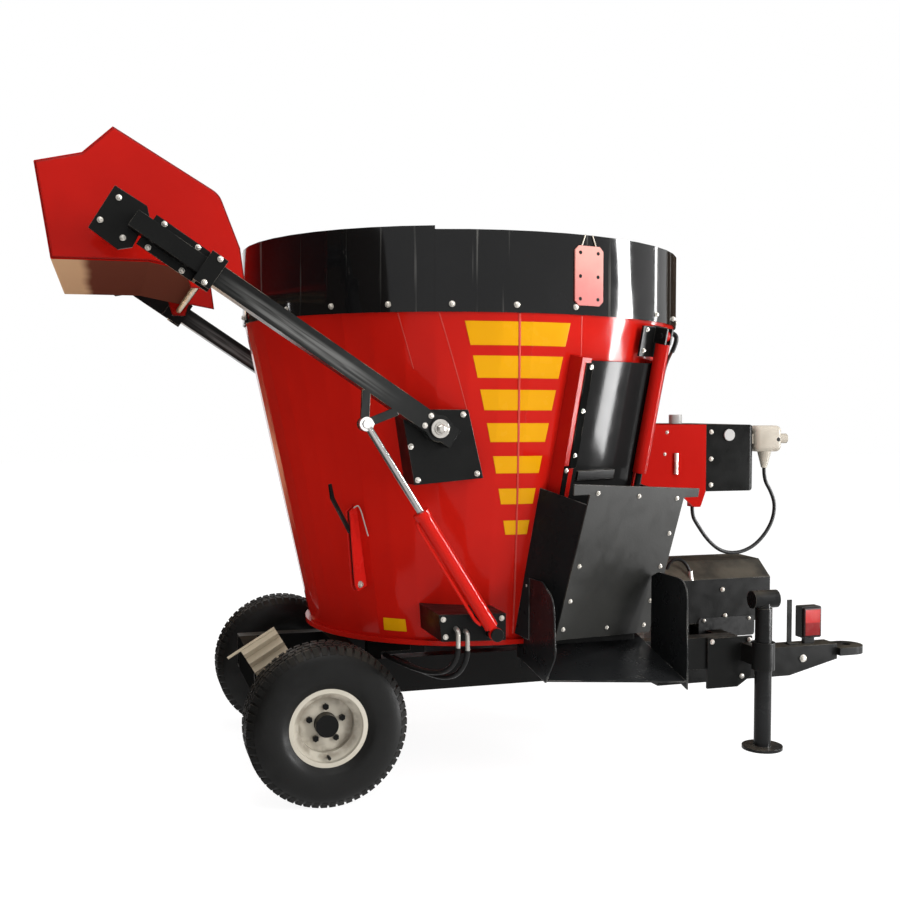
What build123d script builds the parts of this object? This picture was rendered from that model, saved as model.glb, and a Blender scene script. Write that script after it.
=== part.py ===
from build123d import *
import os
from math import atan2, cos, pi, radians, sin

# Trailed single-auger feed mixer with a rear loading hopper, in millimetres.
# +X is the driving direction, +Z is up, and the right-hand side lies towards -Y.
# It is laid out about the tub's axis, then moved so that the origin is under the middle of its box.

# Tub: bent plates with flat facets, a floor with a projecting lip, and a bolted extension band
TUB_SIDES = 48
PLATE_COUNT = 8
TUB_TOP_R = 1000
TUB_BOTTOM_R = 706
TUB_BOTTOM_Z = 637
TUB_TOP_Z = 1992
TUB_WALL = 6
FLOOR_T = 20
FLOOR_LIP = 18
BAND_T = 5
BAND_LAP = 24
BAND_TOP_Z = 2284
BAND_STEP = 14
BAND_SEAM_FACETS = (33, 9)

# Hanging plate on the band
TAG_AZIMUTH = -78.75
TAG_W = 134
TAG_SHIFT = 38
TAG_H = 235
TAG_T = 8
TAG_CHAMFER = 18
TAG_BOTTOM_Z = 2005
TIE_R = 2.5

# Auger: core tube, base disc, conical flighting and bolted knives
CORE_R = 105
CORE_T = 10
CORE_TOP_Z = 1720
HUB_R = 90
HUB_CLEARANCE = 6
BASE_DISC_R = 330
BASE_DISC_T = 14
FLIGHT_BOTTOM_R = 610
FLIGHT_TOP_R = 190
FLIGHT_T = 14
FLIGHT_TURNS = 2.25
FLIGHT_STEPS_PER_TURN = 20
FLIGHT_TOP_Z = 1640
FLOOR_GAP = 10
KNIFE_L = 230
KNIFE_W = 70
KNIFE_T = 10
KNIFE_REACH = 55
KNIFE_COUNT = 6

# Drive line under the tub
REDUCER_R = 165
REDUCER_FLANGE_R = 215
REDUCER_FLANGE_T = 25
REDUCER_H = 235
NOSE_R = 85
NOSE_END_X = 330
DRIVE_Z = 470
SHAFT_R = 30
SHAFT_PASSAGE = 14
COUPLING_R = 62
COUPLING_L = 45
FACE_GAP = 0.3
PLATE_X = 1000
PLATE_T = 15
CASE_L = 170
CASE_HALF_W = 110
CASE_BOTTOM_Z = 400
CASE_TOP_Z = 745
PTO_Z = 640
PTO_R = 17.5
PTO_LENGTH = 150
GUARD_FRONT_X = 1560
GUARD_HALF_W = 215
GUARD_BOTTOM_Z = 550
GUARD_SIDE_Z = 764
GUARD_TOP_Z = 842
GUARD_TOP_HALF_W = 105
GUARD_T = 4
GUARD_MOUTH_R = 120

# Chassis, axle and wheels
BEAM_Y = 340
BEAM_W = 80
BEAM_H = 150
BEAM_T = 6
BEAM_REAR_X = -1000
BEAM_FRONT_X = 1280
CROSS_X = (-960, -560, 560, 1240)
CROSS_W = 80
AXLE_X = -757
AXLE_SQ = 80
TYRE_OD = 650
TYRE_W = 232
TRACK = 1250
RIM_FLANGE_R = 160
RIM_SEAT_R = 146
RIM_WELL_R = 118
RIM_W = 176
RIM_T = 6
DISC_RECESS = 78
DISC_HOLE_R = 47
SPINDLE_R = 25
HUB_FLANGE_R = 98
HUB_CAP_R = 46
STUD_PITCH_R = 70
STUD_COUNT = 5
NUT_R = 13
NUT_H = 16
RUN_FIT = 0.05

# Load cells between chassis and tub
CELL_X = 430
CELL_L = 190
CELL_W = 60
CELL_BAR = 46

# Drawbar, rest bar and lamp
DRAWBAR_REAR_X = 1020
DRAWBAR_END_X = 2070
DRAWBAR_TAPER_X = 1780
DRAWBAR_HALF_W = 60
DRAWBAR_H = 150
DRAWBAR_END_H = 80
DRAWBAR_T = 8
EYE_X = 2165
EYE_R = 88
EYE_T = 40
EYE_HOLE_R = 26
REST_X = 1815
REST_W = 26
REST_T = 8
REST_TOP_Z = 600
LAMP_X = 1930
LAMP_W = 118
LAMP_D = 56
LAMP_H = 165
LAMP_STEM_H = 34
LENS_T = 16

# Parking jack
JACK_X = 1344
JACK_Y = -505
JACK_R = 40
JACK_TOP_Z = 665
JACK_HEAD_R = 42
JACK_HEAD_L = 132
FOOT_R = 95
FOOT_T = 14
SLEEVE_R = 54
SLEEVE_H = 130
DROP_PLATE = ((1112, 272), (1273, 272), (1352, 322), (1352, 512), (1112, 512))

# Loader: pivot boxes, arms, hopper and lift cylinders
PIVOT_X = -376
PIVOT_Z = 1519
ARM_INSET = 70
ARM_SQ = 80
ARM_T = 6
ARM_ANGLE = 146.3
ARM_TAIL = 75
ARM_LENGTH = 1045
PIN_R = 30
BOSS_R = 52
BOX_FACE_GAP = 5
BOX_T = 8
BOX_OUTLINE = ((-505, 1592), (-235, 1592), (-172, 1322), (-452, 1298))
LUG_X = -666
LUG_Z = 1537
LUG_FEET = (318, 175)
LUG_T = 20
LUG_BOSS_R = 28
LUG_BAR = 32
CYLINDER_STEP = 60
CYLINDER_R = 28
ROD_R = 14
EYE_RING_R = 27
EYE_WIDTH = 24
BASE_X = -152
BASE_Z = 718
BASE_PIN_R = 16
BASE_FACE_STEP = 5
END_CAP_T = 15
GLAND_L = 28
PISTON_L = 36
PIN_HEAD = 10
BASE_OUTLINE = ((-368, 796), (-92, 788), (-92, 682), (-356, 690))
BARREL_LENGTH = 572
BARREL_WALL = 5
ROD_LENGTH = 572
HEAD_PLATE_T = 12
HEAD_TUBE_SQ = 66
HEAD_TUBE_END = 1340
SIDE_T = 6
SHEET_T = 5
TIE_ROD_R = 13
TIE_ROD_AT = (-2, -22)
TIE_LUG_HALF_W = 30
TIE_LUG_DROP = 26
TIE_LUG_RISE = 72
HOPPER_SHEET = ((-307, 538), (-418, 434), (-582, 393), (-528, 46), (-185, 50), (36, 8))
SIDE_FRONT = ((169, -11), (153, 111), (75, 314))
SIDE_ROUND = 80
HEAD_OUTLINE = ((-306, 284), (-196, 217), (-189, 183), (-248, 68), (-298, 58), (-397, 131))
HEAD_STAND = 200
STAND_R = 45
STAND_AT = (-290, 165)
HEAD_PAD = (1060, 1285)
HEAD_PAD_HALF_W = 64
HEAD_PAD_T = 10
CLAMP = (990, 1090)
CLAMP_HALF_W = 62

# Discharge door in the facet plane, its rails and cylinder
DOOR_AZIMUTH = -63.75
DOOR_W = 440
DOOR_T = 8
DOOR_WALL_GAP = 12
DOOR_BOTTOM = 20
DOOR_TOP = 1184
RAIL_W = 57
RAIL_LAP = 15
RAIL_CLEARANCE = 2
RAIL_BOTTOM = 10
RAIL_TOP = 1196
RAIL_FACE = 30
MOUTH_HALF_W = 190
MOUTH_BOTTOM = 30
MOUTH_TOP = 440
DOOR_CYLINDER_U = 190
DOOR_CYLINDER_W = 66
DOOR_CYLINDER_R = 30
DOOR_ROD_R = 14
DOOR_BARREL_BOTTOM = 720
DOOR_BARREL_TOP = 1275
DOOR_ROD_TOP = 790
DOOR_LUG_V = 235
DOOR_LUG_H = 40
DOOR_LUG_HALF_W = 13
DOOR_PIN_V = 1308
DOOR_PIN_R = 12
DOOR_EYE_R = 24
DOOR_EYE_HALF_W = 12
DOOR_BRACKET = (88, 246, 1214, 1342)
DOOR_BRACKET_FOOT = 224
DOOR_BRACKET_T = 10
DOOR_CHEEK_REACH = 26

# Discharge chute: box on the wall with a bolted cover, and a trough of two plates and a sloping floor
CHUTE_T = 6
CHUTE_LEFT = -288
CHUTE_RIGHT = 318
CHUTE_LID_V = 600
COVER_W = 160
COVER_LEAN = 0.07
COVER_OUTLINE = ((-304, 67), (336, 12), (340, 642), (445, 640), (440, 678), (-404, 735), (-392, 690),
                 (-296, 688))
TROUGH_X0 = 61
TROUGH_X1 = 637
TROUGH_REAR_Y = -700
TROUGH_REAR_Z = 580
TROUGH_SLOPE = 13
TROUGH_FLOOR = ((64, -690), (64, -970), (640, -1066), (640, -560))
LEFT_PLATE = ((-640, 895), (-640, 545), (-700, 545), (-970, 508), (-1076, 630), (-1052, 850), (-930, 905))
RIGHT_PLATE = ((-745, 880), (-745, 545), (-1070, 462), (-1062, 905), (-810, 905))
PLATE_ROUND = 70

# Counter knives
KNIFE_AZIMUTH = -138.75
CHEEK_GAP = 12
CHEEK_T = 6
KNIFE_PIVOT_V = 245
KNIFE_PIVOT_W = 45
KNIFE_PIN_R = 9
BLADE_T = 8
SLOT_HALF_W = 9
SLOT_BOTTOM = 262
SLOT_TOP = 575
CHEEK_PROFILE = ((222, 0), (222, 62), (250, 76), (560, 46), (572, 0))
BLADE_PROFILE = ((228, 30), (245, 62), (300, 64), (556, 40), (556, 4), (290, 4))
LEVER_PROFILE = ((470, 38), (470, 58), (640, 142), (700, 142), (700, 128), (640, 122))

# Front tank, its bracket, the indicator and the hose
TANK_X0 = 1145
TANK_X1 = 1410
TANK_HALF_W = 300
TANK_BOTTOM_Z = 1204
TANK_TOP_Z = 1525
TANK_ROUND = 30
TANK_T = 8
BRACKET_T = 6
BRACKET_TAB_Z = 1135
GLASS_X = 1268
GLASS_Z = 1475
GLASS_R = 28
GLASS_T = 8
CAP_X = 1215
CAP_Y = 150
CAP_R = 34
CAP_H = 46
INDICATOR_X0 = 1420
INDICATOR_L = 150
INDICATOR_W = 96
INDICATOR_Y = -250
INDICATOR_BOTTOM_Z = 1392
INDICATOR_TOP_Z = 1520
INDICATOR_ROUND = 26
NECK_R = 26
NECK_END_R = 14
NECK_END_Z = 1312
SPOUT_R = 24
SPOUT_L = 46
HOSE_R = 9
HOSE_Y = -250
HOSE_POINTS = ((1495, 1312), (1495, 1255), (1535, 1195), (1560, 1130), (1548, 1050), (1500, 975), (1432, 918),
               (1345, 892), (1258, 905), (1186, 962), (1128, 1040), (1100, 1085), (1100, 1130))
HOSE_BOSS = 36

# Ribbed chock hung on the right-hand beam
CHOCK_X = -997
CHOCK_Z = 634
CHOCK_TILT = 31
CHOCK_L = 165
CHOCK_PITCH = 22
CHOCK_FOLDS = 6
CHOCK_DEPTH = 24
CHOCK_T = 5
CHOCK_PIN_R = 6
CHOCK_PIN_L = 60


# Worked-out values
facet = 2 * pi / TUB_SIDES
tub_height = TUB_TOP_Z - TUB_BOTTOM_Z
apothem_bottom = TUB_BOTTOM_R * cos(facet / 2)
apothem_top = TUB_TOP_R * cos(facet / 2)
slope = atan2(apothem_top - apothem_bottom, tub_height)
axle_z = TYRE_OD / 2
beam_bottom = axle_z + AXLE_SQ / 2
beam_top = beam_bottom + BEAM_H
floor_bottom = TUB_BOTTOM_Z - FLOOR_T
arm_dir = Vector(cos(radians(ARM_ANGLE)), 0, sin(radians(ARM_ANGLE)))
arm_y = TUB_TOP_R - ARM_INSET
cylinder_y = arm_y + CYLINDER_STEP
base_face_y = arm_y + BASE_FACE_STEP
arm_inner = arm_y - ARM_SQ / 2
arm_outer = arm_y + ARM_SQ / 2
side_outer = arm_inner - HEAD_PLATE_T
hopper_outer = side_outer - HEAD_STAND
arm_tip = Vector(PIVOT_X, 0, PIVOT_Z) + arm_dir * ARM_LENGTH


def from_tip(points):
    """Points given from the arm's tip, as x and z."""
    return [(arm_tip.X + x, arm_tip.Z + z) for x, z in points]


nodes = {}


def facet_plane(azimuth):
    """Plane on the tub's outer facet: x along the wall, y up the slope, z outwards."""
    a = radians(azimuth)
    out = Vector(cos(a) * cos(slope), sin(a) * cos(slope), -sin(slope))
    start = (apothem_bottom * cos(a), apothem_bottom * sin(a), TUB_BOTTOM_Z)
    return Plane(origin=start, x_dir=(-sin(a), cos(a), 0), z_dir=out)


def span_box(x0, x1, y0, y1, z0, z1):
    centre = ((x0 + x1) / 2, (y0 + y1) / 2, (z0 + z1) / 2)
    return Pos(*centre) * Box(x1 - x0, y1 - y0, z1 - z0)


def rod_between(start, end, radius):
    start, end = Vector(*start), Vector(*end)
    return Solid.make_cylinder(radius, (end - start).length, Plane(origin=start, z_dir=end - start))


def flat(points):
    return make_face(Polyline(*points, close=True))


def slab_xz(face, y_inner, y_outer):
    """Plate with its outline in x and z, from y_inner out to y_outer on the right-hand side."""
    plane = Plane(origin=(0, y_inner, 0), x_dir=(1, 0, 0), z_dir=(0, -1, 0))
    return extrude(plane * face, amount=y_inner - y_outer)


def pair(shape):
    return [shape, mirror(shape, about=Plane.XZ)]


def add(name, *shapes):
    nodes[name] = [solid for shape in shapes for solid in shape.solids()]


def ring_sector(radius, wall, z, first, last):
    steps = range(first, last + 1)
    outer = [(radius * cos(i * facet), radius * sin(i * facet), z) for i in steps]
    inner = [((radius - wall) * cos(i * facet), (radius - wall) * sin(i * facet), z) for i in reversed(steps)]
    return make_face(Polyline(*outer, *inner, close=True))


def bent_sheet(r_bottom, r_top, z_bottom, z_top, wall, first, last):
    bottom = ring_sector(r_bottom, wall, z_bottom, first, last)
    top = ring_sector(r_top, wall, z_top, first, last)
    return loft([bottom, top], ruled=True)


def tub_envelope():
    rim = RegularPolygon(TUB_TOP_R, TUB_SIDES)
    foot = RegularPolygon(TUB_BOTTOM_R, TUB_SIDES)
    body = loft([Pos(0, 0, TUB_BOTTOM_Z) * foot, Pos(0, 0, TUB_TOP_Z) * rim], ruled=True)
    return body + Pos(0, 0, TUB_BOTTOM_Z - FLOOR_T / 2) * Cylinder(TUB_BOTTOM_R + FLOOR_LIP, FLOOR_T)


envelope = tub_envelope()
door_plane = facet_plane(DOOR_AZIMUTH)
knife_planes = [facet_plane(KNIFE_AZIMUTH), facet_plane(-KNIFE_AZIMUTH)]

# Tub wall: bent plates butted at welded seams, cut for the discharge mouth and the knife slots
mouth = door_plane * span_box(-MOUTH_HALF_W, MOUTH_HALF_W, MOUTH_BOTTOM, MOUTH_TOP, -150, 60)
slots = [p * span_box(-SLOT_HALF_W, SLOT_HALF_W, SLOT_BOTTOM, SLOT_TOP, -60, 40) for p in knife_planes]
per_plate = TUB_SIDES // PLATE_COUNT
plates = []
for k in range(PLATE_COUNT):
    plate = bent_sheet(TUB_BOTTOM_R, TUB_TOP_R, TUB_BOTTOM_Z, TUB_TOP_Z, TUB_WALL, k * per_plate,
                       (k + 1) * per_plate)
    plates.append(plate - mouth - slots[0] - slots[1])
add("tub_wall", *plates)
floor = Pos(0, 0, TUB_BOTTOM_Z - FLOOR_T / 2) * Cylinder(TUB_BOTTOM_R + FLOOR_LIP, FLOOR_T)
floor -= Pos(0, 0, TUB_BOTTOM_Z) * Cylinder(HUB_R + HUB_CLEARANCE, 4 * FLOOR_T)
add("tub_floor", floor)

# Extension band: two sheets outside the tub's rim, the rear one a little taller
band_bottom = TUB_TOP_Z - BAND_LAP
band_r = TUB_TOP_R + BAND_T
seam_a, seam_b = BAND_SEAM_FACETS
band_front = bent_sheet(band_r, band_r, band_bottom, BAND_TOP_Z, BAND_T, seam_a, seam_b + TUB_SIDES)
band_rear = bent_sheet(band_r, band_r, band_bottom, BAND_TOP_Z + BAND_STEP, BAND_T, seam_b, seam_a)
add("band_front", band_front)
add("band_rear", band_rear)

# Hanging plate with chamfered corners, held by two wire ties over the rim
tag_a = radians(TAG_AZIMUTH)
tag_face = band_r * cos(facet / 2)
tag_plane = Plane(origin=(tag_face * cos(tag_a), tag_face * sin(tag_a), TAG_BOTTOM_Z),
                  x_dir=(-sin(tag_a), cos(tag_a), 0), z_dir=(cos(tag_a), sin(tag_a), 0))
tag = span_box(TAG_SHIFT - TAG_W / 2, TAG_SHIFT + TAG_W / 2, 0, TAG_H, 0, TAG_T)
tag = chamfer(tag.edges().filter_by(Axis.Z), TAG_CHAMFER)
tie_top = BAND_TOP_Z - TAG_BOTTOM_Z
ties = []
for side in (-1, 1):
    start = (TAG_SHIFT + side * TAG_W / 4, TAG_H, TAG_T / 2)
    ties.append(rod_between(start, (TAG_SHIFT + side * TAG_W / 8, tie_top, TAG_T / 2), TIE_R))
add("hanging_plate", tag_plane * (tag + ties[0] + ties[1]))

# Auger core: tube with a pointed cap, a base disc and the hub that stands on the reducer
disc_z = TUB_BOTTOM_Z + FLOOR_GAP
core_in = CORE_R - CORE_T
core_outline = [(HUB_R - 2 * CORE_T, floor_bottom + FACE_GAP), (HUB_R, floor_bottom + FACE_GAP),
                (HUB_R, disc_z),
                (BASE_DISC_R, disc_z), (BASE_DISC_R, disc_z + BASE_DISC_T), (CORE_R, disc_z + BASE_DISC_T),
                (CORE_R, CORE_TOP_Z - CORE_R), (0, CORE_TOP_Z), (0, CORE_TOP_Z - 2 * CORE_T),
                (core_in, CORE_TOP_Z - CORE_R - CORE_T), (core_in, disc_z + BASE_DISC_T),
                (HUB_R - 2 * CORE_T, disc_z + BASE_DISC_T)]
add("auger_core", revolve(make_face(Polyline(*[(r, 0, z) for r, z in core_outline], close=True)), Axis.Z))

# Flighting: a helical strip that narrows as it climbs, lofted through radial sections
flight_steps = round(FLIGHT_TURNS * FLIGHT_STEPS_PER_TURN)
flight_z0 = disc_z + BASE_DISC_T + FLIGHT_T / 2


def flight_at(step):
    """Angle, height and outer radius of the flighting at one step."""
    share = step / flight_steps
    return (2 * pi * step / FLIGHT_STEPS_PER_TURN, flight_z0 + share * (FLIGHT_TOP_Z - flight_z0),
            FLIGHT_BOTTOM_R + share * (FLIGHT_TOP_R - FLIGHT_BOTTOM_R))


sections = []
for step in range(flight_steps + 1):
    angle, z, outer = flight_at(step)
    low, high = z - FLIGHT_T / 2, z + FLIGHT_T / 2
    corners = [(CORE_R, low), (outer, low), (outer, high), (CORE_R, high)]
    sections.append(flat([(r * cos(angle), r * sin(angle), h) for r, h in corners]))
core_cutter = Pos(0, 0, (disc_z + CORE_TOP_Z) / 2) * Cylinder(CORE_R, CORE_TOP_Z)
flight = loft(sections, ruled=True) - core_cutter
add("auger_flight", flight)

# Knives: plates bolted on the flighting, reaching past its edge
knives = []
for k in range(KNIFE_COUNT):
    step = 3 + k * (flight_steps - 8) / KNIFE_COUNT
    angle, z, outer = flight_at(step)
    rise = (FLIGHT_TOP_Z - flight_z0) / (2 * pi * FLIGHT_TURNS)
    pitch = atan2(rise, outer - KNIFE_L / 4)
    along = Vector(-sin(angle) * cos(pitch), cos(angle) * cos(pitch), sin(pitch))
    radial = Vector(cos(angle), sin(angle), 0)
    seat = Plane(origin=(outer * cos(angle), outer * sin(angle), z + FLIGHT_T / 2), x_dir=radial,
                 z_dir=radial.cross(along))
    blade = span_box(KNIFE_REACH - KNIFE_L, KNIFE_REACH, -KNIFE_W / 2, KNIFE_W / 2, -4, KNIFE_T)
    knives.append((seat * blade) - flight)
add("auger_knives", *[max(k.solids(), key=lambda s: s.volume) for k in knives])

# Reducer under the floor, with its input nose
reducer_top = floor_bottom
reducer = Pos(0, 0, reducer_top - REDUCER_H / 2) * Cylinder(REDUCER_R, REDUCER_H)
reducer += Pos(0, 0, reducer_top - REDUCER_FLANGE_T / 2) * Cylinder(REDUCER_FLANGE_R, REDUCER_FLANGE_T)
reducer += rod_between((0, 0, DRIVE_Z), (NOSE_END_X, 0, DRIVE_Z), NOSE_R)
add("auger_reducer", reducer)

# Drive shaft with its two couplings
shaft_start = NOSE_END_X + FACE_GAP
shaft_end = PLATE_X - PLATE_T - FACE_GAP
drive = rod_between((shaft_start, 0, DRIVE_Z), (shaft_end, 0, DRIVE_Z), SHAFT_R)
drive += rod_between((shaft_start, 0, DRIVE_Z), (shaft_start + COUPLING_L, 0, DRIVE_Z), COUPLING_R)
drive += rod_between((shaft_end - COUPLING_L, 0, DRIVE_Z), (shaft_end, 0, DRIVE_Z), COUPLING_R)
add("drive_shaft", drive)

# Gear case on its plate, the input shaft and the folded guard over them
beam_gap = BEAM_Y - BEAM_W / 2
plate_outline = [(-beam_gap, beam_bottom), (beam_gap, beam_bottom), (beam_gap, beam_top),
                 (GUARD_HALF_W, beam_top), (GUARD_HALF_W, GUARD_SIDE_Z), (-GUARD_HALF_W, GUARD_SIDE_Z),
                 (-GUARD_HALF_W, beam_top),
                 (-beam_gap, beam_top)]
plate_start = PLATE_X - PLATE_T
case_plate = extrude(flat([(plate_start, y, z) for y, z in plate_outline]), amount=PLATE_T, dir=(1, 0, 0))
case = span_box(PLATE_X, PLATE_X + CASE_L, -CASE_HALF_W, CASE_HALF_W, CASE_BOTTOM_Z, CASE_TOP_Z)
case = fillet(case.edges().filter_by(Axis.X), CASE_HALF_W / 2)
add("gear_case", case_plate + case)
pto_start = PLATE_X + CASE_L + FACE_GAP
add("input_shaft", rod_between((pto_start, 0, PTO_Z), (pto_start + PTO_LENGTH, 0, PTO_Z), PTO_R))


def guard_block(inset, end):
    """Guard's outline across the machine, drawn in by the sheet, from the case plate to its front end."""
    half, top_half = GUARD_HALF_W - inset, GUARD_TOP_HALF_W - inset / 2
    low = GUARD_BOTTOM_Z - inset
    points = [(-half, low), (half, low), (half, GUARD_SIDE_Z - inset / 2), (top_half, GUARD_TOP_Z - inset),
              (-top_half, GUARD_TOP_Z - inset), (-half, GUARD_SIDE_Z - inset / 2)]
    return extrude(flat([(PLATE_X, y, z) for y, z in points]), amount=end - PLATE_X, dir=(1, 0, 0))


guard = guard_block(0, GUARD_FRONT_X) - guard_block(GUARD_T, GUARD_FRONT_X - GUARD_T)
mouth_z = (GUARD_BOTTOM_Z + GUARD_SIDE_Z) / 2
guard -= span_box(GUARD_FRONT_X - 2 * GUARD_T, GUARD_FRONT_X + GUARD_T, -GUARD_MOUTH_R, GUARD_MOUTH_R,
                  GUARD_BOTTOM_Z - GUARD_T, mouth_z)
guard -= rod_between((GUARD_FRONT_X - 2 * GUARD_T, 0, mouth_z), (GUARD_FRONT_X + GUARD_T, 0, mouth_z),
                     GUARD_MOUTH_R)
add("drive_guard", guard)

# Chassis beams, cross members, axle and load cells
beam = span_box(BEAM_REAR_X, BEAM_FRONT_X, -BEAM_Y - BEAM_W / 2, -BEAM_Y + BEAM_W / 2, beam_bottom, beam_top)
beam_bore = span_box(BEAM_REAR_X - 1, BEAM_FRONT_X + 1, -BEAM_Y - BEAM_W / 2 + BEAM_T,
                     -BEAM_Y + BEAM_W / 2 - BEAM_T,
                     beam_bottom + BEAM_T, beam_top - BEAM_T)
beams = pair(beam - beam_bore)
add("beam_right", beams[0])
add("beam_left", beams[1])
crosses = []
for x in CROSS_X:
    tube = span_box(x - CROSS_W / 2, x + CROSS_W / 2, -beam_gap, beam_gap, beam_bottom, beam_top)
    bore = span_box(x - CROSS_W / 2 + BEAM_T, x + CROSS_W / 2 - BEAM_T, -beam_gap - 1, beam_gap + 1,
                    beam_bottom + BEAM_T, beam_top - BEAM_T)
    passage = rod_between((x - CROSS_W, 0, DRIVE_Z), (x + CROSS_W, 0, DRIVE_Z), SHAFT_R + SHAFT_PASSAGE)
    crosses.append(tube - bore - passage if 0 < x < PLATE_X else tube - bore)
add("cross_members", *crosses)

wheel_y = TRACK / 2
disc_face = wheel_y + RIM_W / 2 - DISC_RECESS
disc_back = disc_face - RIM_T
hub_flange_t = 14
hub_back = disc_back - 95
axle = span_box(AXLE_X - AXLE_SQ / 2, AXLE_X + AXLE_SQ / 2, -hub_back + 1, hub_back - 1, axle_z - AXLE_SQ / 2,
                axle_z + AXLE_SQ / 2)
spindle_end = disc_face + 20
axle += rod_between((AXLE_X, -spindle_end, axle_z), (AXLE_X, spindle_end, axle_z), SPINDLE_R)
add("axle", axle)

cells = []
for x in (-CELL_X, CELL_X):
    for y in (-BEAM_Y, BEAM_Y):
        block = span_box(x - CELL_L / 2, x + CELL_L / 2, y - CELL_W / 2, y + CELL_W / 2, beam_top,
                         floor_bottom)
        spare = (floor_bottom - beam_top - CELL_BAR) / 2
        under = span_box(x - CELL_L / 2 + CELL_W, x + CELL_L, y - CELL_W, y + CELL_W, beam_top,
                         beam_top + spare)
        over = span_box(x - CELL_L, x + CELL_L / 2 - CELL_W, y - CELL_W, y + CELL_W, floor_bottom - spare,
                        floor_bottom)
        cells.append(block - under - over)
add("load_cells", *cells)


def turned(outline):
    """Ring turned about the axle from an outline of radius and distance along Y."""
    face = make_face(Polyline(*[(r, y, 0) for r, y in outline], close=True))
    return Pos(AXLE_X, 0, axle_z) * revolve(face, Axis.Y)


def tyre_shape():
    """Tyre with a rounded shoulder and bulged sidewalls, open at its bore, in the right-hand place."""
    half = TYRE_W / 2
    tread = TYRE_OD / 2
    bead = RIM_W / 2 - RIM_T
    shoulder = tread - 26
    bulge = (RIM_SEAT_R + tread) / 2
    clear = RIM_FLANGE_R + 6
    lines = Polyline((clear, -bead), (RIM_SEAT_R, -bead), (RIM_SEAT_R, bead), (clear, bead))
    right = Spline((clear, bead), (bulge, half), (shoulder, half - 12), (tread - 3, half - 42))
    crown = ThreePointArc((tread - 3, half - 42), (tread, 0), (tread - 3, 42 - half))
    left = Spline((tread - 3, 42 - half), (shoulder, 12 - half), (bulge, -half), (clear, -bead))
    face = make_face(lines + right + crown + left)
    return Pos(AXLE_X, -wheel_y, axle_z) * revolve(face, Axis.Y)


def rim_shape():
    """Rim with two flanges, a drop centre and a recessed disc."""
    edge = RIM_W / 2
    seat = edge - 24
    well = edge - 52
    outside = [(RIM_FLANGE_R, -edge), (RIM_FLANGE_R, RIM_T - edge), (RIM_SEAT_R, RIM_T - edge),
               (RIM_SEAT_R, -seat), (RIM_WELL_R, -well), (RIM_WELL_R, well), (RIM_SEAT_R, seat),
               (RIM_SEAT_R, edge - RIM_T),
               (RIM_FLANGE_R, edge - RIM_T), (RIM_FLANGE_R, edge)]
    inside = [(RIM_SEAT_R - RIM_T, edge), (RIM_SEAT_R - RIM_T, seat), (RIM_WELL_R - RIM_T, well),
              (RIM_WELL_R - RIM_T, -well), (RIM_SEAT_R - RIM_T, -seat), (RIM_SEAT_R - RIM_T, -edge)]
    barrel = turned([(r, y - wheel_y) for r, y in outside + inside])
    disc = rod_between((AXLE_X, -disc_back, axle_z), (AXLE_X, -disc_face, axle_z), RIM_WELL_R - RIM_T / 2)
    disc -= rod_between((AXLE_X, -disc_back + 9, axle_z), (AXLE_X, -disc_face - 9, axle_z), DISC_HOLE_R)
    for k in range(STUD_COUNT):
        a = 2 * pi * k / STUD_COUNT + pi / 2
        x, z = AXLE_X + STUD_PITCH_R * cos(a), axle_z + STUD_PITCH_R * sin(a)
        disc -= rod_between((x, -disc_back + 9, z), (x, -disc_face - 9, z), NUT_R * 0.55)
    return barrel + disc


def hub_shape():
    """Hub with its bearing bore, flange, cap and the wheel nuts."""
    flange = rod_between((AXLE_X, -disc_back + hub_flange_t, axle_z), (AXLE_X, -disc_back, axle_z),
                         HUB_FLANGE_R)
    barrel = rod_between((AXLE_X, -hub_back, axle_z), (AXLE_X, -disc_back, axle_z), HUB_CAP_R + 12)
    cap = rod_between((AXLE_X, -disc_back, axle_z), (AXLE_X, -disc_face - 46, axle_z), HUB_CAP_R)
    hub = flange + barrel + cap
    for k in range(STUD_COUNT):
        a = 2 * pi * k / STUD_COUNT + pi / 2
        x, z = AXLE_X + STUD_PITCH_R * cos(a), axle_z + STUD_PITCH_R * sin(a)
        hub += rod_between((x, -disc_back, z), (x, -disc_face - 4, z), NUT_R * 0.55)
        nut_plane = Plane(origin=(x, -disc_face, z), z_dir=(0, -1, 0))
        hub += extrude(nut_plane * RegularPolygon(NUT_R, 6), amount=NUT_H)
    bore_end = spindle_end + 1
    return hub - rod_between((AXLE_X, 0, axle_z), (AXLE_X, -bore_end, axle_z), SPINDLE_R + RUN_FIT)


for name, shape in (("tyre", tyre_shape()), ("rim", rim_shape()), ("hub", hub_shape())):
    both = pair(shape)
    add(name + "_right", both[0])
    add(name + "_left", both[1])

# Drawbar: tapered box under the chassis, with its eye, rest bar and lamp
drawbar_top = beam_bottom
drawbar_low = drawbar_top - DRAWBAR_H


def drawbar_block(inset, half):
    low, high = drawbar_low + inset, drawbar_top - inset
    end_low = drawbar_top - DRAWBAR_END_H + inset
    outline = [(DRAWBAR_REAR_X + inset, low), (DRAWBAR_TAPER_X, low), (DRAWBAR_END_X - inset, end_low),
               (DRAWBAR_END_X - inset, high), (DRAWBAR_REAR_X + inset, high)]
    return slab_xz(flat(outline), half, -half)


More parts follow.
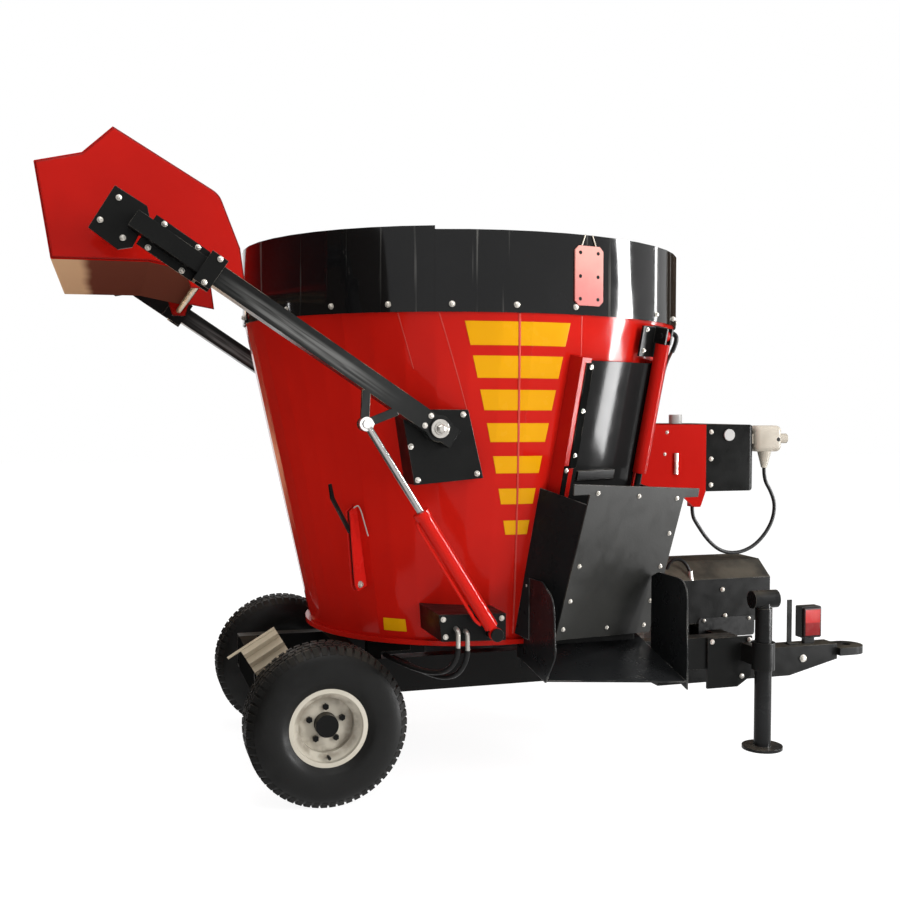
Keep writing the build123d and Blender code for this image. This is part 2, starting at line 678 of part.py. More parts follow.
drawbar = drawbar_block(0, DRAWBAR_HALF_W) - drawbar_block(DRAWBAR_T, DRAWBAR_HALF_W - DRAWBAR_T)
add("drawbar", drawbar)
eye_z = drawbar_top - DRAWBAR_END_H / 2
eye = span_box(DRAWBAR_END_X, EYE_X, -EYE_R, EYE_R, eye_z - EYE_T / 2, eye_z + EYE_T / 2)
eye += Pos(EYE_X, 0, eye_z) * Cylinder(EYE_R, EYE_T)
eye -= Pos(EYE_X, 0, eye_z) * Cylinder(EYE_HOLE_R, 2 * EYE_T)
add("drawbar_eye", eye)
rest = span_box(REST_X - REST_W / 2, REST_X + REST_W / 2, -REST_T / 2, REST_T / 2, drawbar_top, REST_TOP_Z)
rest += span_box(REST_X - REST_W / 2, REST_X + 2 * REST_W, -REST_W, REST_W, drawbar_top, drawbar_top + REST_T)
add("rest_bar", rest)
lamp_z0 = drawbar_top + LAMP_STEM_H
lamp = span_box(LAMP_X - LAMP_W / 2, LAMP_X + LAMP_W / 2, -LAMP_D / 2, LAMP_D / 2, lamp_z0, lamp_z0 + LAMP_H)
lamp = fillet(lamp.edges().filter_by(Axis.Y), LAMP_D / 8)
lamp += span_box(LAMP_X - LAMP_W / 4, LAMP_X + LAMP_W / 4, -LAMP_D / 4, LAMP_D / 4, drawbar_top, lamp_z0)
add("lamp_housing", lamp)
rim_w = LAMP_D / 8
lens = span_box(LAMP_X - LAMP_W / 2 + rim_w, LAMP_X + LAMP_W / 2 - rim_w, -LAMP_D / 2 - LENS_T, -LAMP_D / 2,
                lamp_z0 + rim_w, lamp_z0 + LAMP_H - rim_w)
add("lamp_lens", fillet(lens.faces().sort_by(Axis.Y)[0].edges(), LENS_T / 4))

# Parking jack: leg with its head and foot, sliding in a sleeve bolted to the right-hand beam
sleeve_z = (beam_bottom + beam_top) / 2
beam_face = -BEAM_Y - BEAM_W / 2
sleeve = Pos(JACK_X, JACK_Y, sleeve_z) * Cylinder(SLEEVE_R, SLEEVE_H)
web = span_box(JACK_X - SLEEVE_R, BEAM_FRONT_X + SLEEVE_R, JACK_Y, beam_face, sleeve_z - SLEEVE_H / 3,
               sleeve_z + SLEEVE_H / 3)
flange = slab_xz(flat(DROP_PLATE), beam_face, beam_face - PLATE_T)
jack_bore = Pos(JACK_X, JACK_Y, sleeve_z) * Cylinder(JACK_R + RUN_FIT, 2 * SLEEVE_H)
jack_bracket = sleeve + web + flange - jack_bore
add("jack_bracket", jack_bracket)
leg = Pos(JACK_X, JACK_Y, (FOOT_T + JACK_TOP_Z) / 2) * Cylinder(JACK_R, JACK_TOP_Z - FOOT_T)
leg += Pos(JACK_X, JACK_Y, FOOT_T / 2) * Cylinder(FOOT_R, FOOT_T)
add("jack_leg", leg)
head_z = JACK_TOP_Z + JACK_HEAD_R
head = rod_between((JACK_X - JACK_HEAD_L / 2, JACK_Y, head_z), (JACK_X + JACK_HEAD_L / 2, JACK_Y, head_z),
                   JACK_HEAD_R)
neck_block = Pos(JACK_X, JACK_Y, JACK_TOP_Z + JACK_HEAD_R / 2) * Cylinder(JACK_R * 0.9, JACK_HEAD_R)
add("jack_head", head + neck_block)

# Pivot boxes: folded covers on the tub wall with a stub shaft for the arm
box_face = arm_inner - BOX_FACE_GAP
outline = flat(BOX_OUTLINE)
pivot_box = slab_xz(outline, -TUB_BOTTOM_R / 2, -box_face)
pivot_box -= slab_xz(offset(outline, amount=-BOX_T), -TUB_BOTTOM_R / 2, -box_face + BOX_T)
pivot_box -= envelope
pin_end = arm_outer + FACE_GAP
stub = rod_between((PIVOT_X, -box_face + BOX_T, PIVOT_Z), (PIVOT_X, -pin_end, PIVOT_Z), PIN_R)
stub += rod_between((PIVOT_X, -pin_end, PIVOT_Z), (PIVOT_X, -pin_end - PIN_HEAD, PIVOT_Z), PIN_R + PIN_HEAD)
boxes = pair(pivot_box + stub)
add("pivot_boxes", *boxes)

# Arms: square tubes with a pivot boss and the triangular lug that takes the lift cylinder
arm_plane = Plane(origin=(PIVOT_X, -arm_y, PIVOT_Z), x_dir=arm_dir, z_dir=(0, -1, 0))
half_arm = ARM_SQ / 2
tube = arm_plane * span_box(-ARM_TAIL, ARM_LENGTH, -half_arm, half_arm, -half_arm, half_arm)
tube_bore = half_arm - ARM_T
tube -= arm_plane * span_box(-ARM_TAIL - 1, ARM_LENGTH + 1, -tube_bore, tube_bore, -tube_bore, tube_bore)
boss = rod_between((PIVOT_X, -arm_inner, PIVOT_Z), (PIVOT_X, -arm_outer, PIVOT_Z), BOSS_R)
pivot_bore = rod_between((PIVOT_X, -arm_inner + PIN_HEAD, PIVOT_Z),
                         (PIVOT_X, -arm_outer - PIN_HEAD, PIVOT_Z), PIN_R + RUN_FIT)
lug_outer = arm_outer
lug_inner = arm_outer - LUG_T


def lug_bar(x, z):
    """Flat bar from the arm's underside to the lug's eye."""
    run = Vector(x - LUG_X, 0, z - LUG_Z)
    plane = Plane(origin=(LUG_X, -lug_inner, LUG_Z), x_dir=run.normalized(), z_dir=(0, -1, 0))
    return plane * span_box(0, run.length, -LUG_BAR / 2, LUG_BAR / 2, 0, LUG_T)


def on_arm(distance, across):
    """Point beside the arm's axis, as x and z."""
    up = Vector(0, -1, 0).cross(arm_dir)
    point = Vector(PIVOT_X, 0, PIVOT_Z) + arm_dir * distance + up * across
    return point.X, point.Z


lug_feet = [lug_bar(*on_arm(distance, half_arm - ARM_T / 2)) for distance in LUG_FEET]
lug_ring = rod_between((LUG_X, -lug_inner, LUG_Z), (LUG_X, -lug_outer, LUG_Z), LUG_BOSS_R)
lug_hole = rod_between((LUG_X, -lug_inner + PIN_HEAD, LUG_Z), (LUG_X, -lug_outer - PIN_HEAD, LUG_Z),
                       BASE_PIN_R)
tube_clear = arm_plane * span_box(-ARM_TAIL, ARM_LENGTH, -tube_bore, tube_bore, -tube_bore, tube_bore)
arm = tube + (lug_feet[0] + lug_feet[1] + lug_ring - tube_clear) + boss - pivot_bore - lug_hole
arms = pair(arm)
add("arm_right", arms[0])
add("arm_left", arms[1])

# Arm heads: a bolted tube that carries on from the arm, with a plate and a round stand to the hopper's side
head_plate = slab_xz(flat(from_tip(HEAD_OUTLINE)), -side_outer, -arm_inner)
stand_x, stand_z = from_tip([STAND_AT])[0]
head_plate += rod_between((stand_x, -side_outer, stand_z), (stand_x, -hopper_outer, stand_z), STAND_R)
half_head = HEAD_TUBE_SQ / 2
head_tube = arm_plane * span_box(ARM_LENGTH, HEAD_TUBE_END, -half_head, half_head, -half_arm, half_head)
head_bore = half_head - ARM_T
head_tube -= arm_plane * span_box(ARM_LENGTH - 1, HEAD_TUBE_END + 1, -head_bore, head_bore, -head_bore,
                                  head_bore)
head_tube += arm_plane * span_box(*HEAD_PAD, -HEAD_PAD_HALF_W, HEAD_PAD_HALF_W, -half_arm,
                                  HEAD_PAD_T - half_arm)
clamp = arm_plane * span_box(*CLAMP, -CLAMP_HALF_W, CLAMP_HALF_W, -half_arm - HEAD_PLATE_T, -half_arm)
clamp += arm_plane * span_box(CLAMP[0], ARM_LENGTH, -CLAMP_HALF_W, CLAMP_HALF_W, half_arm,
                              half_arm + HEAD_PLATE_T)
clamp += arm_plane * span_box(ARM_LENGTH, ARM_LENGTH + HEAD_PLATE_T, -CLAMP_HALF_W, CLAMP_HALF_W, -half_arm,
                              half_arm + HEAD_PLATE_T)
heads = pair(head_plate + head_tube + clamp)
add("arm_heads", *heads)

# Hopper: one bent sheet between two side plates, and the tie rod under it
side_face = flat(from_tip(HOPPER_SHEET[:5] + SIDE_FRONT))
corner = side_face.vertices().sort_by_distance((*from_tip(SIDE_FRONT)[2], 0))[0]
side_face = fillet(corner, SIDE_ROUND)
tie_x, tie_z = from_tip([TIE_ROD_AT])[0]
lug_low, lug_high = tie_z - TIE_LUG_DROP, tie_z + TIE_LUG_RISE
tie_lug = flat([(tie_x - TIE_LUG_HALF_W, lug_low), (tie_x + TIE_LUG_HALF_W, lug_low),
                (tie_x + 2 * TIE_LUG_HALF_W, lug_high), (tie_x - 2 * TIE_LUG_HALF_W, lug_high)])
sides = pair(slab_xz(side_face + tie_lug, -(hopper_outer - SIDE_T), -hopper_outer))
add("hopper_sides", *sides)
sheet_wire = Polyline(*from_tip(HOPPER_SHEET))
sheet_face = make_face(offset(sheet_wire, amount=SHEET_T, side=Side.RIGHT, closed=True))
half_sheet = hopper_outer - SIDE_T
add("hopper_sheet", slab_xz(sheet_face, half_sheet, -half_sheet))
tie_end = hopper_outer - SIDE_T
add("tie_rod", rod_between((tie_x, -tie_end, tie_z), (tie_x, tie_end, tie_z), TIE_ROD_R))

# Lift cylinders: base brackets on the tub, barrels on their pins, rods beside the lugs
base_face = flat(BASE_OUTLINE)
base = slab_xz(base_face, -TUB_BOTTOM_R / 2, -base_face_y)
base -= slab_xz(offset(base_face, amount=-BOX_T), -TUB_BOTTOM_R / 2, -base_face_y + BOX_T)
base -= envelope
eye_inner = cylinder_y - EYE_WIDTH / 2
eye_outer = cylinder_y + EYE_WIDTH / 2
base_pin_end = eye_outer + FACE_GAP
base += rod_between((BASE_X, -base_face_y, BASE_Z), (BASE_X, -base_pin_end, BASE_Z), BASE_PIN_R)
base += rod_between((BASE_X, -base_pin_end, BASE_Z), (BASE_X, -base_pin_end - PIN_HEAD, BASE_Z),
                    BASE_PIN_R + PIN_HEAD)
base += rod_between((BASE_X, -base_face_y, BASE_Z), (BASE_X, -eye_inner + FACE_GAP, BASE_Z),
                    BASE_PIN_R + PIN_HEAD)
add("cylinder_bases", *pair(base))

cylinder_run = Vector(LUG_X - BASE_X, 0, LUG_Z - BASE_Z)
cylinder_plane = Plane(origin=(BASE_X, -cylinder_y, BASE_Z), x_dir=(0, -1, 0), z_dir=cylinder_run)
barrel_start = EYE_RING_R + PIN_HEAD
barrel = Pos(0, 0, (barrel_start + BARREL_LENGTH) / 2) * Cylinder(CYLINDER_R, BARREL_LENGTH - barrel_start)
bore_start = barrel_start + END_CAP_T
barrel_bore = CYLINDER_R - BARREL_WALL
barrel -= Pos(0, 0, (bore_start + BARREL_LENGTH) / 2) * Cylinder(barrel_bore, BARREL_LENGTH - bore_start)
gland = Pos(0, 0, BARREL_LENGTH - GLAND_L / 2) * Cylinder(CYLINDER_R + BARREL_WALL, GLAND_L)
barrel = barrel + gland - Pos(0, 0, BARREL_LENGTH) * Cylinder(ROD_R + RUN_FIT, 4 * GLAND_L)
barrel = cylinder_plane * (barrel + span_box(-EYE_WIDTH / 3, EYE_WIDTH / 3, -BASE_PIN_R, BASE_PIN_R, 0,
                                             barrel_start))
barrel += rod_between((BASE_X, -eye_inner, BASE_Z), (BASE_X, -eye_outer, BASE_Z), EYE_RING_R)
barrel -= rod_between((BASE_X, -eye_inner + PIN_HEAD, BASE_Z), (BASE_X, -eye_outer - PIN_HEAD, BASE_Z),
                      BASE_PIN_R + RUN_FIT)
for name, shape in zip(("lift_barrel_right", "lift_barrel_left"), pair(barrel)):
    add(name, shape)
lug_distance = cylinder_run.length
rod_start = lug_distance - ROD_LENGTH
lift_rod = Pos(0, 0, (rod_start + lug_distance) / 2) * Cylinder(ROD_R, ROD_LENGTH)
lift_rod += Pos(0, 0, rod_start + PISTON_L / 2) * Cylinder(barrel_bore - FACE_GAP, PISTON_L)
lift_rod = cylinder_plane * lift_rod
rod_eye_inner = lug_outer + FACE_GAP
lift_rod += rod_between((LUG_X, -rod_eye_inner, LUG_Z), (LUG_X, -eye_outer, LUG_Z), EYE_RING_R)
lift_rod += rod_between((LUG_X, -eye_outer, LUG_Z), (LUG_X, -eye_outer - PIN_HEAD, LUG_Z), BASE_PIN_R)
for name, shape in zip(("lift_rod_right", "lift_rod_left"), pair(lift_rod)):
    add(name, shape)

# Door in its rails: channels that seat on the round wall
half_door = DOOR_W / 2
door_in, door_out = DOOR_WALL_GAP, DOOR_WALL_GAP + DOOR_T
rail_in = half_door - RAIL_LAP
groove = span_box(-half_door - RAIL_CLEARANCE, half_door + RAIL_CLEARANCE, RAIL_BOTTOM - 1, RAIL_TOP + 1,
                  door_in - RAIL_CLEARANCE, door_out + RAIL_CLEARANCE)
rails = []
for side in (-1, 1):
    near, far = sorted((side * rail_in, side * (rail_in + RAIL_W)))
    rail = span_box(near, far, RAIL_BOTTOM, RAIL_TOP, -RAIL_W, RAIL_FACE) - groove
    rails.append((door_plane * rail) - envelope)
add("door_rails", *[max(r.solids(), key=lambda s: s.volume) for r in rails])
door = span_box(-half_door, half_door, DOOR_BOTTOM, DOOR_TOP, door_in, door_out)
lug_block = span_box(DOOR_CYLINDER_U - DOOR_LUG_HALF_W, DOOR_CYLINDER_U + DOOR_LUG_HALF_W,
                     DOOR_LUG_V - DOOR_LUG_H / 2,
                     DOOR_LUG_V + DOOR_LUG_H / 2, door_out, DOOR_CYLINDER_W + DOOR_LUG_HALF_W)


def up_slope(v0, v1, radius):
    """Round bar up the slope on the door cylinder's axis."""
    start = (DOOR_CYLINDER_U, v0, DOOR_CYLINDER_W)
    return rod_between(start, (DOOR_CYLINDER_U, v1, DOOR_CYLINDER_W), radius)


def door_pin(half, radius):
    """Round bar across the door cylinder at its upper eye."""
    start = (DOOR_CYLINDER_U - half, DOOR_PIN_V, DOOR_CYLINDER_W)
    return rod_between(start, (DOOR_CYLINDER_U + half, DOOR_PIN_V, DOOR_CYLINDER_W), radius)


eye_half = DOOR_EYE_HALF_W
door_barrel = up_slope(DOOR_BARREL_BOTTOM, DOOR_BARREL_TOP, DOOR_CYLINDER_R)
door_barrel -= up_slope(DOOR_BARREL_BOTTOM - 1, DOOR_BARREL_TOP - END_CAP_T, DOOR_ROD_R + RUN_FIT)
door_barrel += span_box(DOOR_CYLINDER_U - eye_half / 2, DOOR_CYLINDER_U + eye_half / 2, DOOR_BARREL_TOP,
                        DOOR_PIN_V,
                        DOOR_CYLINDER_W - DOOR_EYE_R / 2, DOOR_CYLINDER_W + DOOR_EYE_R / 2)
door_barrel += door_pin(eye_half, DOOR_EYE_R)
door_barrel -= door_pin(2 * eye_half, DOOR_PIN_R + RUN_FIT)
add("door_barrel", door_plane * door_barrel)
door_rod = up_slope(DOOR_LUG_V + DOOR_LUG_H / 2, DOOR_ROD_TOP, DOOR_ROD_R)
add("door", door_plane * (door + lug_block + door_rod))

# Door cylinder's bracket: a plate over the door's path on a foot beside it, with two cheeks and the pin
bracket_u0, bracket_u1, bracket_v0, bracket_v1 = DOOR_BRACKET
bracket_in = door_out + RAIL_CLEARANCE
bracket_out = bracket_in + DOOR_BRACKET_T
door_bracket = span_box(bracket_u0, bracket_u1, bracket_v0, bracket_v1, bracket_in, bracket_out)
door_bracket += span_box(DOOR_BRACKET_FOOT, bracket_u1, bracket_v0, bracket_v1, -RAIL_W, bracket_out)
for side in (-1, 1):
    near, far = sorted((side * (eye_half + FACE_GAP), side * (eye_half + FACE_GAP + DOOR_BRACKET_T)))
    door_bracket += span_box(DOOR_CYLINDER_U + near, DOOR_CYLINDER_U + far, DOOR_BARREL_TOP + FACE_GAP,
                             bracket_v1, bracket_out, DOOR_CYLINDER_W + DOOR_CHEEK_REACH)
door_bracket += door_pin(eye_half + 2 * DOOR_BRACKET_T, DOOR_PIN_R)
seated = (door_plane * door_bracket) - envelope
add("door_bracket", max(seated.solids(), key=lambda s: s.volume))

# Trough: a left plate standing on the tub, a right plate, and the sloping floor between them
trough_turn = radians(TROUGH_SLOPE)
floor_run = Vector(0, -cos(trough_turn), -sin(trough_turn))
floor_up = Vector(-1, 0, 0).cross(floor_run)
floor_plane = Plane(origin=(0, TROUGH_REAR_Y, TROUGH_REAR_Z), x_dir=(1, 0, 0), z_dir=floor_up)


def upright(outline, x, first):
    """Plate across the machine at x, with its corners from first on rounded."""
    face = flat([(x, y, z) for y, z in outline])
    corners = [face.vertices().sort_by_distance((x, *point))[0] for point in outline[first:]]
    return extrude(fillet(corners, PLATE_ROUND), amount=CHUTE_T, dir=(1, 0, 0))


floor_drop = extrude(flat(TROUGH_FLOOR), amount=TUB_BOTTOM_Z, dir=(0, 0, 1))
floor_slab = floor_plane * span_box(-TUB_TOP_R, TUB_TOP_R, -TUB_TOP_R, TUB_TOP_R, -CHUTE_T, 0)
trough = upright(LEFT_PLATE, TROUGH_X0, 4) + upright(RIGHT_PLATE, TROUGH_X1, 3) + (floor_drop & floor_slab)
rail_room = span_box(-rail_in - RAIL_W - RAIL_CLEARANCE, 0, 0, RAIL_TOP, -RAIL_W - RAIL_CLEARANCE,
                     RAIL_FACE + RAIL_CLEARANCE)
trough = trough - envelope - door_plane * rail_room
add("chute_tray", max(trough.solids(), key=lambda s: s.volume))

# Chute box: two sides and a lid on the tub, and the leaning cover bolted over them


def chute_slab(points, u0, u1):
    """Plate with its outline in v and w, from u0 to u1 along the wall."""
    return extrude(flat([(u0, v, w) for v, w in points]), amount=u1 - u0, dir=(1, 0, 0))


def cover_at(v):
    """Inner face of the leaning cover above a point on the slope."""
    return COVER_W + COVER_LEAN * v


cover_low, cover_high = COVER_OUTLINE[1][1], COVER_OUTLINE[2][1]
side_outline = [(cover_low, -RAIL_W), (cover_high, -RAIL_W), (cover_high, cover_at(cover_high)),
                (cover_low, cover_at(cover_low))]
chute = chute_slab(side_outline, CHUTE_LEFT - CHUTE_T, CHUTE_LEFT)
chute += chute_slab(side_outline, CHUTE_RIGHT, CHUTE_RIGHT + CHUTE_T)
lid_v = CHUTE_LID_V
lid_start = DOOR_CYLINDER_W + DOOR_CYLINDER_R
lid = [(lid_v, lid_start), (lid_v + CHUTE_T, lid_start), (lid_v + CHUTE_T, cover_at(lid_v + CHUTE_T)),
       (lid_v, cover_at(lid_v))]
chute += chute_slab(lid, CHUTE_LEFT, CHUTE_RIGHT)
chute = (door_plane * chute) - envelope - upright(LEFT_PLATE, TROUGH_X0, 4)
add("chute_box", max(chute.solids(), key=lambda s: s.volume))
cover_face = Plane(origin=(0, 0, COVER_W), x_dir=(1, 0, 0), z_dir=(0, -COVER_LEAN, 1)) * flat(COVER_OUTLINE)
add("chute_cover", door_plane * extrude(cover_face, amount=CHUTE_T))

# Counter knives: cheeks on the tub with a pin, and a blade with its lever that swings through the wall
cheek_parts = []
for index, plane in enumerate(knife_planes):
    radial_plane = Plane(origin=(0, 0, 0), x_dir=(0, 1, 0), z_dir=(1, 0, 0))
    profile = radial_plane * flat(CHEEK_PROFILE)
    near = extrude(profile, amount=CHEEK_T, dir=(1, 0, 0))
    cheeks = Pos(CHEEK_GAP / 2, 0, 0) * near + Pos(-CHEEK_GAP / 2 - CHEEK_T, 0, 0) * near
    pin_half = CHEEK_GAP / 2 + CHEEK_T
    pin_start = (-pin_half, KNIFE_PIVOT_V, KNIFE_PIVOT_W)
    cheeks += rod_between(pin_start, (pin_half, KNIFE_PIVOT_V, KNIFE_PIVOT_W), KNIFE_PIN_R)
    cheek_parts.append((plane * cheeks) - envelope)
    blade = extrude(radial_plane * flat(BLADE_PROFILE), amount=BLADE_T, dir=(1, 0, 0))
    blade += extrude(radial_plane * flat(LEVER_PROFILE), amount=BLADE_T, dir=(1, 0, 0))
    blade = Pos(-BLADE_T / 2, 0, 0) * blade
    blade -= rod_between((-BLADE_T, KNIFE_PIVOT_V, KNIFE_PIVOT_W), (BLADE_T, KNIFE_PIVOT_V, KNIFE_PIVOT_W),
                         KNIFE_PIN_R + RUN_FIT)
    add(("counter_knife_right", "counter_knife_left")[index], plane * blade)
add("knife_brackets", *cheek_parts)

# Tank on its bracket at the front of the tub, with its glass, cap, indicator and hose
bracket = span_box(TUB_BOTTOM_R, TANK_X0, -TANK_HALF_W, -TANK_HALF_W + BRACKET_T, TANK_BOTTOM_Z, TANK_TOP_Z)
tab = [(TANK_X0 - 150, TANK_BOTTOM_Z), (TANK_X0 - 70, BRACKET_TAB_Z), (TANK_X0 - 25, BRACKET_TAB_Z),
       (TANK_X0, TANK_BOTTOM_Z)]
bracket += slab_xz(flat(tab), -TANK_HALF_W + BRACKET_T, -TANK_HALF_W)
bracket += mirror(bracket, about=Plane.XZ)
bracket += span_box(TANK_X0 - BRACKET_T, TANK_X0, -TANK_HALF_W, TANK_HALF_W, TANK_BOTTOM_Z, TANK_TOP_Z)
boss_x, boss_z = HOSE_POINTS[-1]
bracket += span_box(boss_x - HOSE_BOSS / 2, boss_x + HOSE_BOSS / 2, -TANK_HALF_W, HOSE_Y + HOSE_BOSS / 2,
                    boss_z,
                    boss_z + 2 * HOSE_BOSS)
add("tank_bracket", bracket - envelope)
tank = span_box(TANK_X0, TANK_X1, -TANK_HALF_W, TANK_HALF_W, TANK_BOTTOM_Z, TANK_TOP_Z)
front_edges = tank.faces().sort_by(Axis.X)[-1].edges()
tank = fillet(front_edges, TANK_ROUND)
tank -= span_box(TANK_X0 + TANK_T, TANK_X1 - TANK_ROUND, -TANK_HALF_W + TANK_ROUND, TANK_HALF_W - TANK_ROUND,
                 TANK_BOTTOM_Z + TANK_T, TANK_TOP_Z - TANK_T)
tank -= Pos(CAP_X, CAP_Y, TANK_TOP_Z) * Cylinder(CAP_R * 0.7, 4 * TANK_T)
add("oil_tank", tank)
glass = rod_between((GLASS_X, -TANK_HALF_W, GLASS_Z), (GLASS_X, -TANK_HALF_W - GLASS_T, GLASS_Z), GLASS_R)
cap = Pos(CAP_X, CAP_Y, TANK_TOP_Z + CAP_H / 2) * Cylinder(CAP_R, CAP_H)
add("tank_fittings", glass, cap)
ind_x1 = INDICATOR_X0 + INDICATOR_L
ind_half = INDICATOR_W / 2
indicator = span_box(INDICATOR_X0, ind_x1, INDICATOR_Y - ind_half, INDICATOR_Y + ind_half, INDICATOR_BOTTOM_Z,
                     INDICATOR_TOP_Z)
indicator = fillet(indicator.edges(), INDICATOR_ROUND)
neck_x = INDICATOR_X0 + INDICATOR_L / 2
indicator += Pos(neck_x, INDICATOR_Y, (NECK_END_Z + INDICATOR_BOTTOM_Z + 20) / 2) * Cone(
    NECK_END_R, NECK_R * 1.5, INDICATOR_BOTTOM_Z + 20 - NECK_END_Z)
spout_z = (INDICATOR_BOTTOM_Z + INDICATOR_TOP_Z) / 2
indicator += rod_between((ind_x1 - 12, INDICATOR_Y, spout_z), (ind_x1 + SPOUT_L, INDICATOR_Y, spout_z),
                         SPOUT_R)
foot = span_box(TANK_X1, INDICATOR_X0 + INDICATOR_L / 3, INDICATOR_Y - ind_half / 2,
                INDICATOR_Y + ind_half / 2,
                spout_z - ind_half / 2, spout_z + ind_half / 2)
add("indicator", indicator + foot)

# Hose: straight runs and tangent arcs from the indicator's neck round to the bracket's tab
hose_points = [Vector(x, HOSE_Y, z) for x, z in HOSE_POINTS]
hose_radii = []
for before, here, after in zip(hose_points, hose_points[1:], hose_points[2:]):
    bend = radians((here - before).get_angle(after - here))
    shorter = min((here - before).length, (after - here).length)
    hose_radii.append(0.45 * shorter / (sin(bend / 2) / cos(bend / 2)))
print("hose radii", [round(r) for r in hose_radii])
hose_path = FilletPolyline(*hose_points, radius=hose_radii)
hose_start = Plane(origin=hose_points[0], z_dir=hose_points[1] - hose_points[0])
hose = sweep(hose_start * Circle(HOSE_R), path=hose_path)
print("hose length", round(hose_path.length), "volume share",
      round(hose.volume / (pi * HOSE_R ** 2 * hose_path.length), 4))
add("hose", hose)

# Ribbed chock: a zigzag sheet hung on the right-hand beam, with its pin
tilt = radians(CHOCK_TILT)
chock_plane = Plane(origin=(CHOCK_X, beam_face, CHOCK_Z), x_dir=(cos(tilt), 0, sin(tilt)), z_dir=(0, -1, 0))
ridge = [(0, -k * CHOCK_PITCH, CHOCK_DEPTH * (k % 2)) for k in range(CHOCK_FOLDS + 1)]
back = [(0, y, z + CHOCK_T) for x, y, z in reversed(ridge)]
chock = Pos(-CHOCK_L / 2, 0, 0) * extrude(flat(ridge + back), amount=CHOCK_L, dir=(1, 0, 0))
chock += rod_between((-CHOCK_L / 2 - CHOCK_PIN_L, 0, CHOCK_PIN_R), (CHOCK_L / 2, 0, CHOCK_PIN_R), CHOCK_PIN_R)
add("wheel_chock", chock_plane * chock)

# Origin: on the ground under the middle of the machine's box, the hose left out
boxes_all = [s.bounding_box() for name, group in nodes.items() if name != "hose" for s in group]
middle_x = (min(b.min.X for b in boxes_all) + max(b.max.X for b in boxes_all)) / 2
middle_y = (min(b.min.Y for b in boxes_all) + max(b.max.Y for b in boxes_all)) / 2
lowest = min(b.min.Z for b in boxes_all)
print("origin moved by", round(-middle_x, 3), round(-middle_y, 3), round(-lowest, 3))
os.makedirs("parts", exist_ok=True)
for name, group in nodes.items():
    moved = [Pos(-middle_x, -middle_y, -lowest) * solid for solid in group]
    export_step(moved[0] if len(moved) == 1 else Compound(children=moved), f"parts/{name}.step")
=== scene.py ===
from math import atan2, cos, pi, radians, sin

import bmesh
import bpy
from mathutils import Matrix, Vector


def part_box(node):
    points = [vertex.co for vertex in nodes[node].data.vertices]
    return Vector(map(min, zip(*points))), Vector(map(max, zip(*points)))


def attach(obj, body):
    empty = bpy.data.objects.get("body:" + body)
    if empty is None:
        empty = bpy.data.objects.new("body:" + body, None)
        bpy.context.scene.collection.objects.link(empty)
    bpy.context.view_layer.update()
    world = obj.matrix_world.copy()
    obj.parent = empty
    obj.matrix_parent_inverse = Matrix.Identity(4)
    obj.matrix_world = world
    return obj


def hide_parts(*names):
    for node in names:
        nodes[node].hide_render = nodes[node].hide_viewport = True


# The frame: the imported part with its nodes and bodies, the box that it fills,
# and the tub's axis, which everything else is measured from. Lengths are in metres.
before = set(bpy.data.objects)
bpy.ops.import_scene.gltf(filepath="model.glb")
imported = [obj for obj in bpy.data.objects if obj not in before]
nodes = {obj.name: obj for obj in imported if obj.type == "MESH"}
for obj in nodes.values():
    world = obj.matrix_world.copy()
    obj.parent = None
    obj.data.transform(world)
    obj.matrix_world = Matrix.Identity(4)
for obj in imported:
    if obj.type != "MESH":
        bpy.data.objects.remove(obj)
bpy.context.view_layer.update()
floor_low, floor_high = (Vector(corner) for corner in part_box("tub_floor"))
axis = Vector(((floor_low.x + floor_high.x) / 2, (floor_low.y + floor_high.y) / 2, 0))


def at(x, y, z):
    """A point given from the foot of the tub's axis."""
    return axis + Vector((x, y, z))


# Camera: the photograph's view, from the machine's right-hand rear at a standing
# eye height, looking almost level. The picture is square.
VIEW_POINT = (-1.573, -5.157, 1.589)
VIEW_YAW = 18.074
VIEW_PITCH = 1.988
VIEW_ROLL = 0.197
VIEW_LENS, VIEW_SENSOR = 45.53, 36
VIEW_SHIFT = -0.0353

yaw, pitch, roll = radians(VIEW_YAW), radians(VIEW_PITCH), radians(VIEW_ROLL)
ahead = Vector((sin(yaw) * cos(pitch), cos(yaw) * cos(pitch), -sin(pitch)))
level = Vector((cos(yaw), -sin(yaw), 0))
upward = level.cross(ahead)
right = level * cos(roll) + upward * sin(roll)
camera = bpy.data.cameras.new("camera")
camera.lens = VIEW_LENS
camera.sensor_width = VIEW_SENSOR
camera.shift_x = VIEW_SHIFT
camera_object = bpy.data.objects.new("camera", camera)
bpy.context.collection.objects.link(camera_object)
turn = Matrix((right, right.cross(ahead), -ahead)).transposed()
camera_object.matrix_world = Matrix.Translation(at(*VIEW_POINT)) @ turn.to_4x4()
bpy.context.scene.camera = camera_object

# Hose: black rubber, pushed on the indicator's neck, hanging in one loop under the
# tank and going back up to a boss under the tank's bracket.
HOSE_DIAMETER = 0.018
HOSE_SIDE = -0.250
HOSE_ROUTE = (
    (1.495, 1.312), (1.495, 1.255), (1.535, 1.195), (1.560, 1.130), (1.548, 1.050),
    (1.500, 0.975), (1.432, 0.918), (1.345, 0.892), (1.258, 0.905), (1.186, 0.962),
    (1.128, 1.040), (1.100, 1.085), (1.100, 1.130),
)
HOSE_BLACK = (0.007, 0.007, 0.007)
HOSE_GRAIN, HOSE_GLOSS = 60, (0.38, 0.55)
NOISE_RANGE = (0.3, 0.7)
EDGE_TURN = (0.97, 0.80)


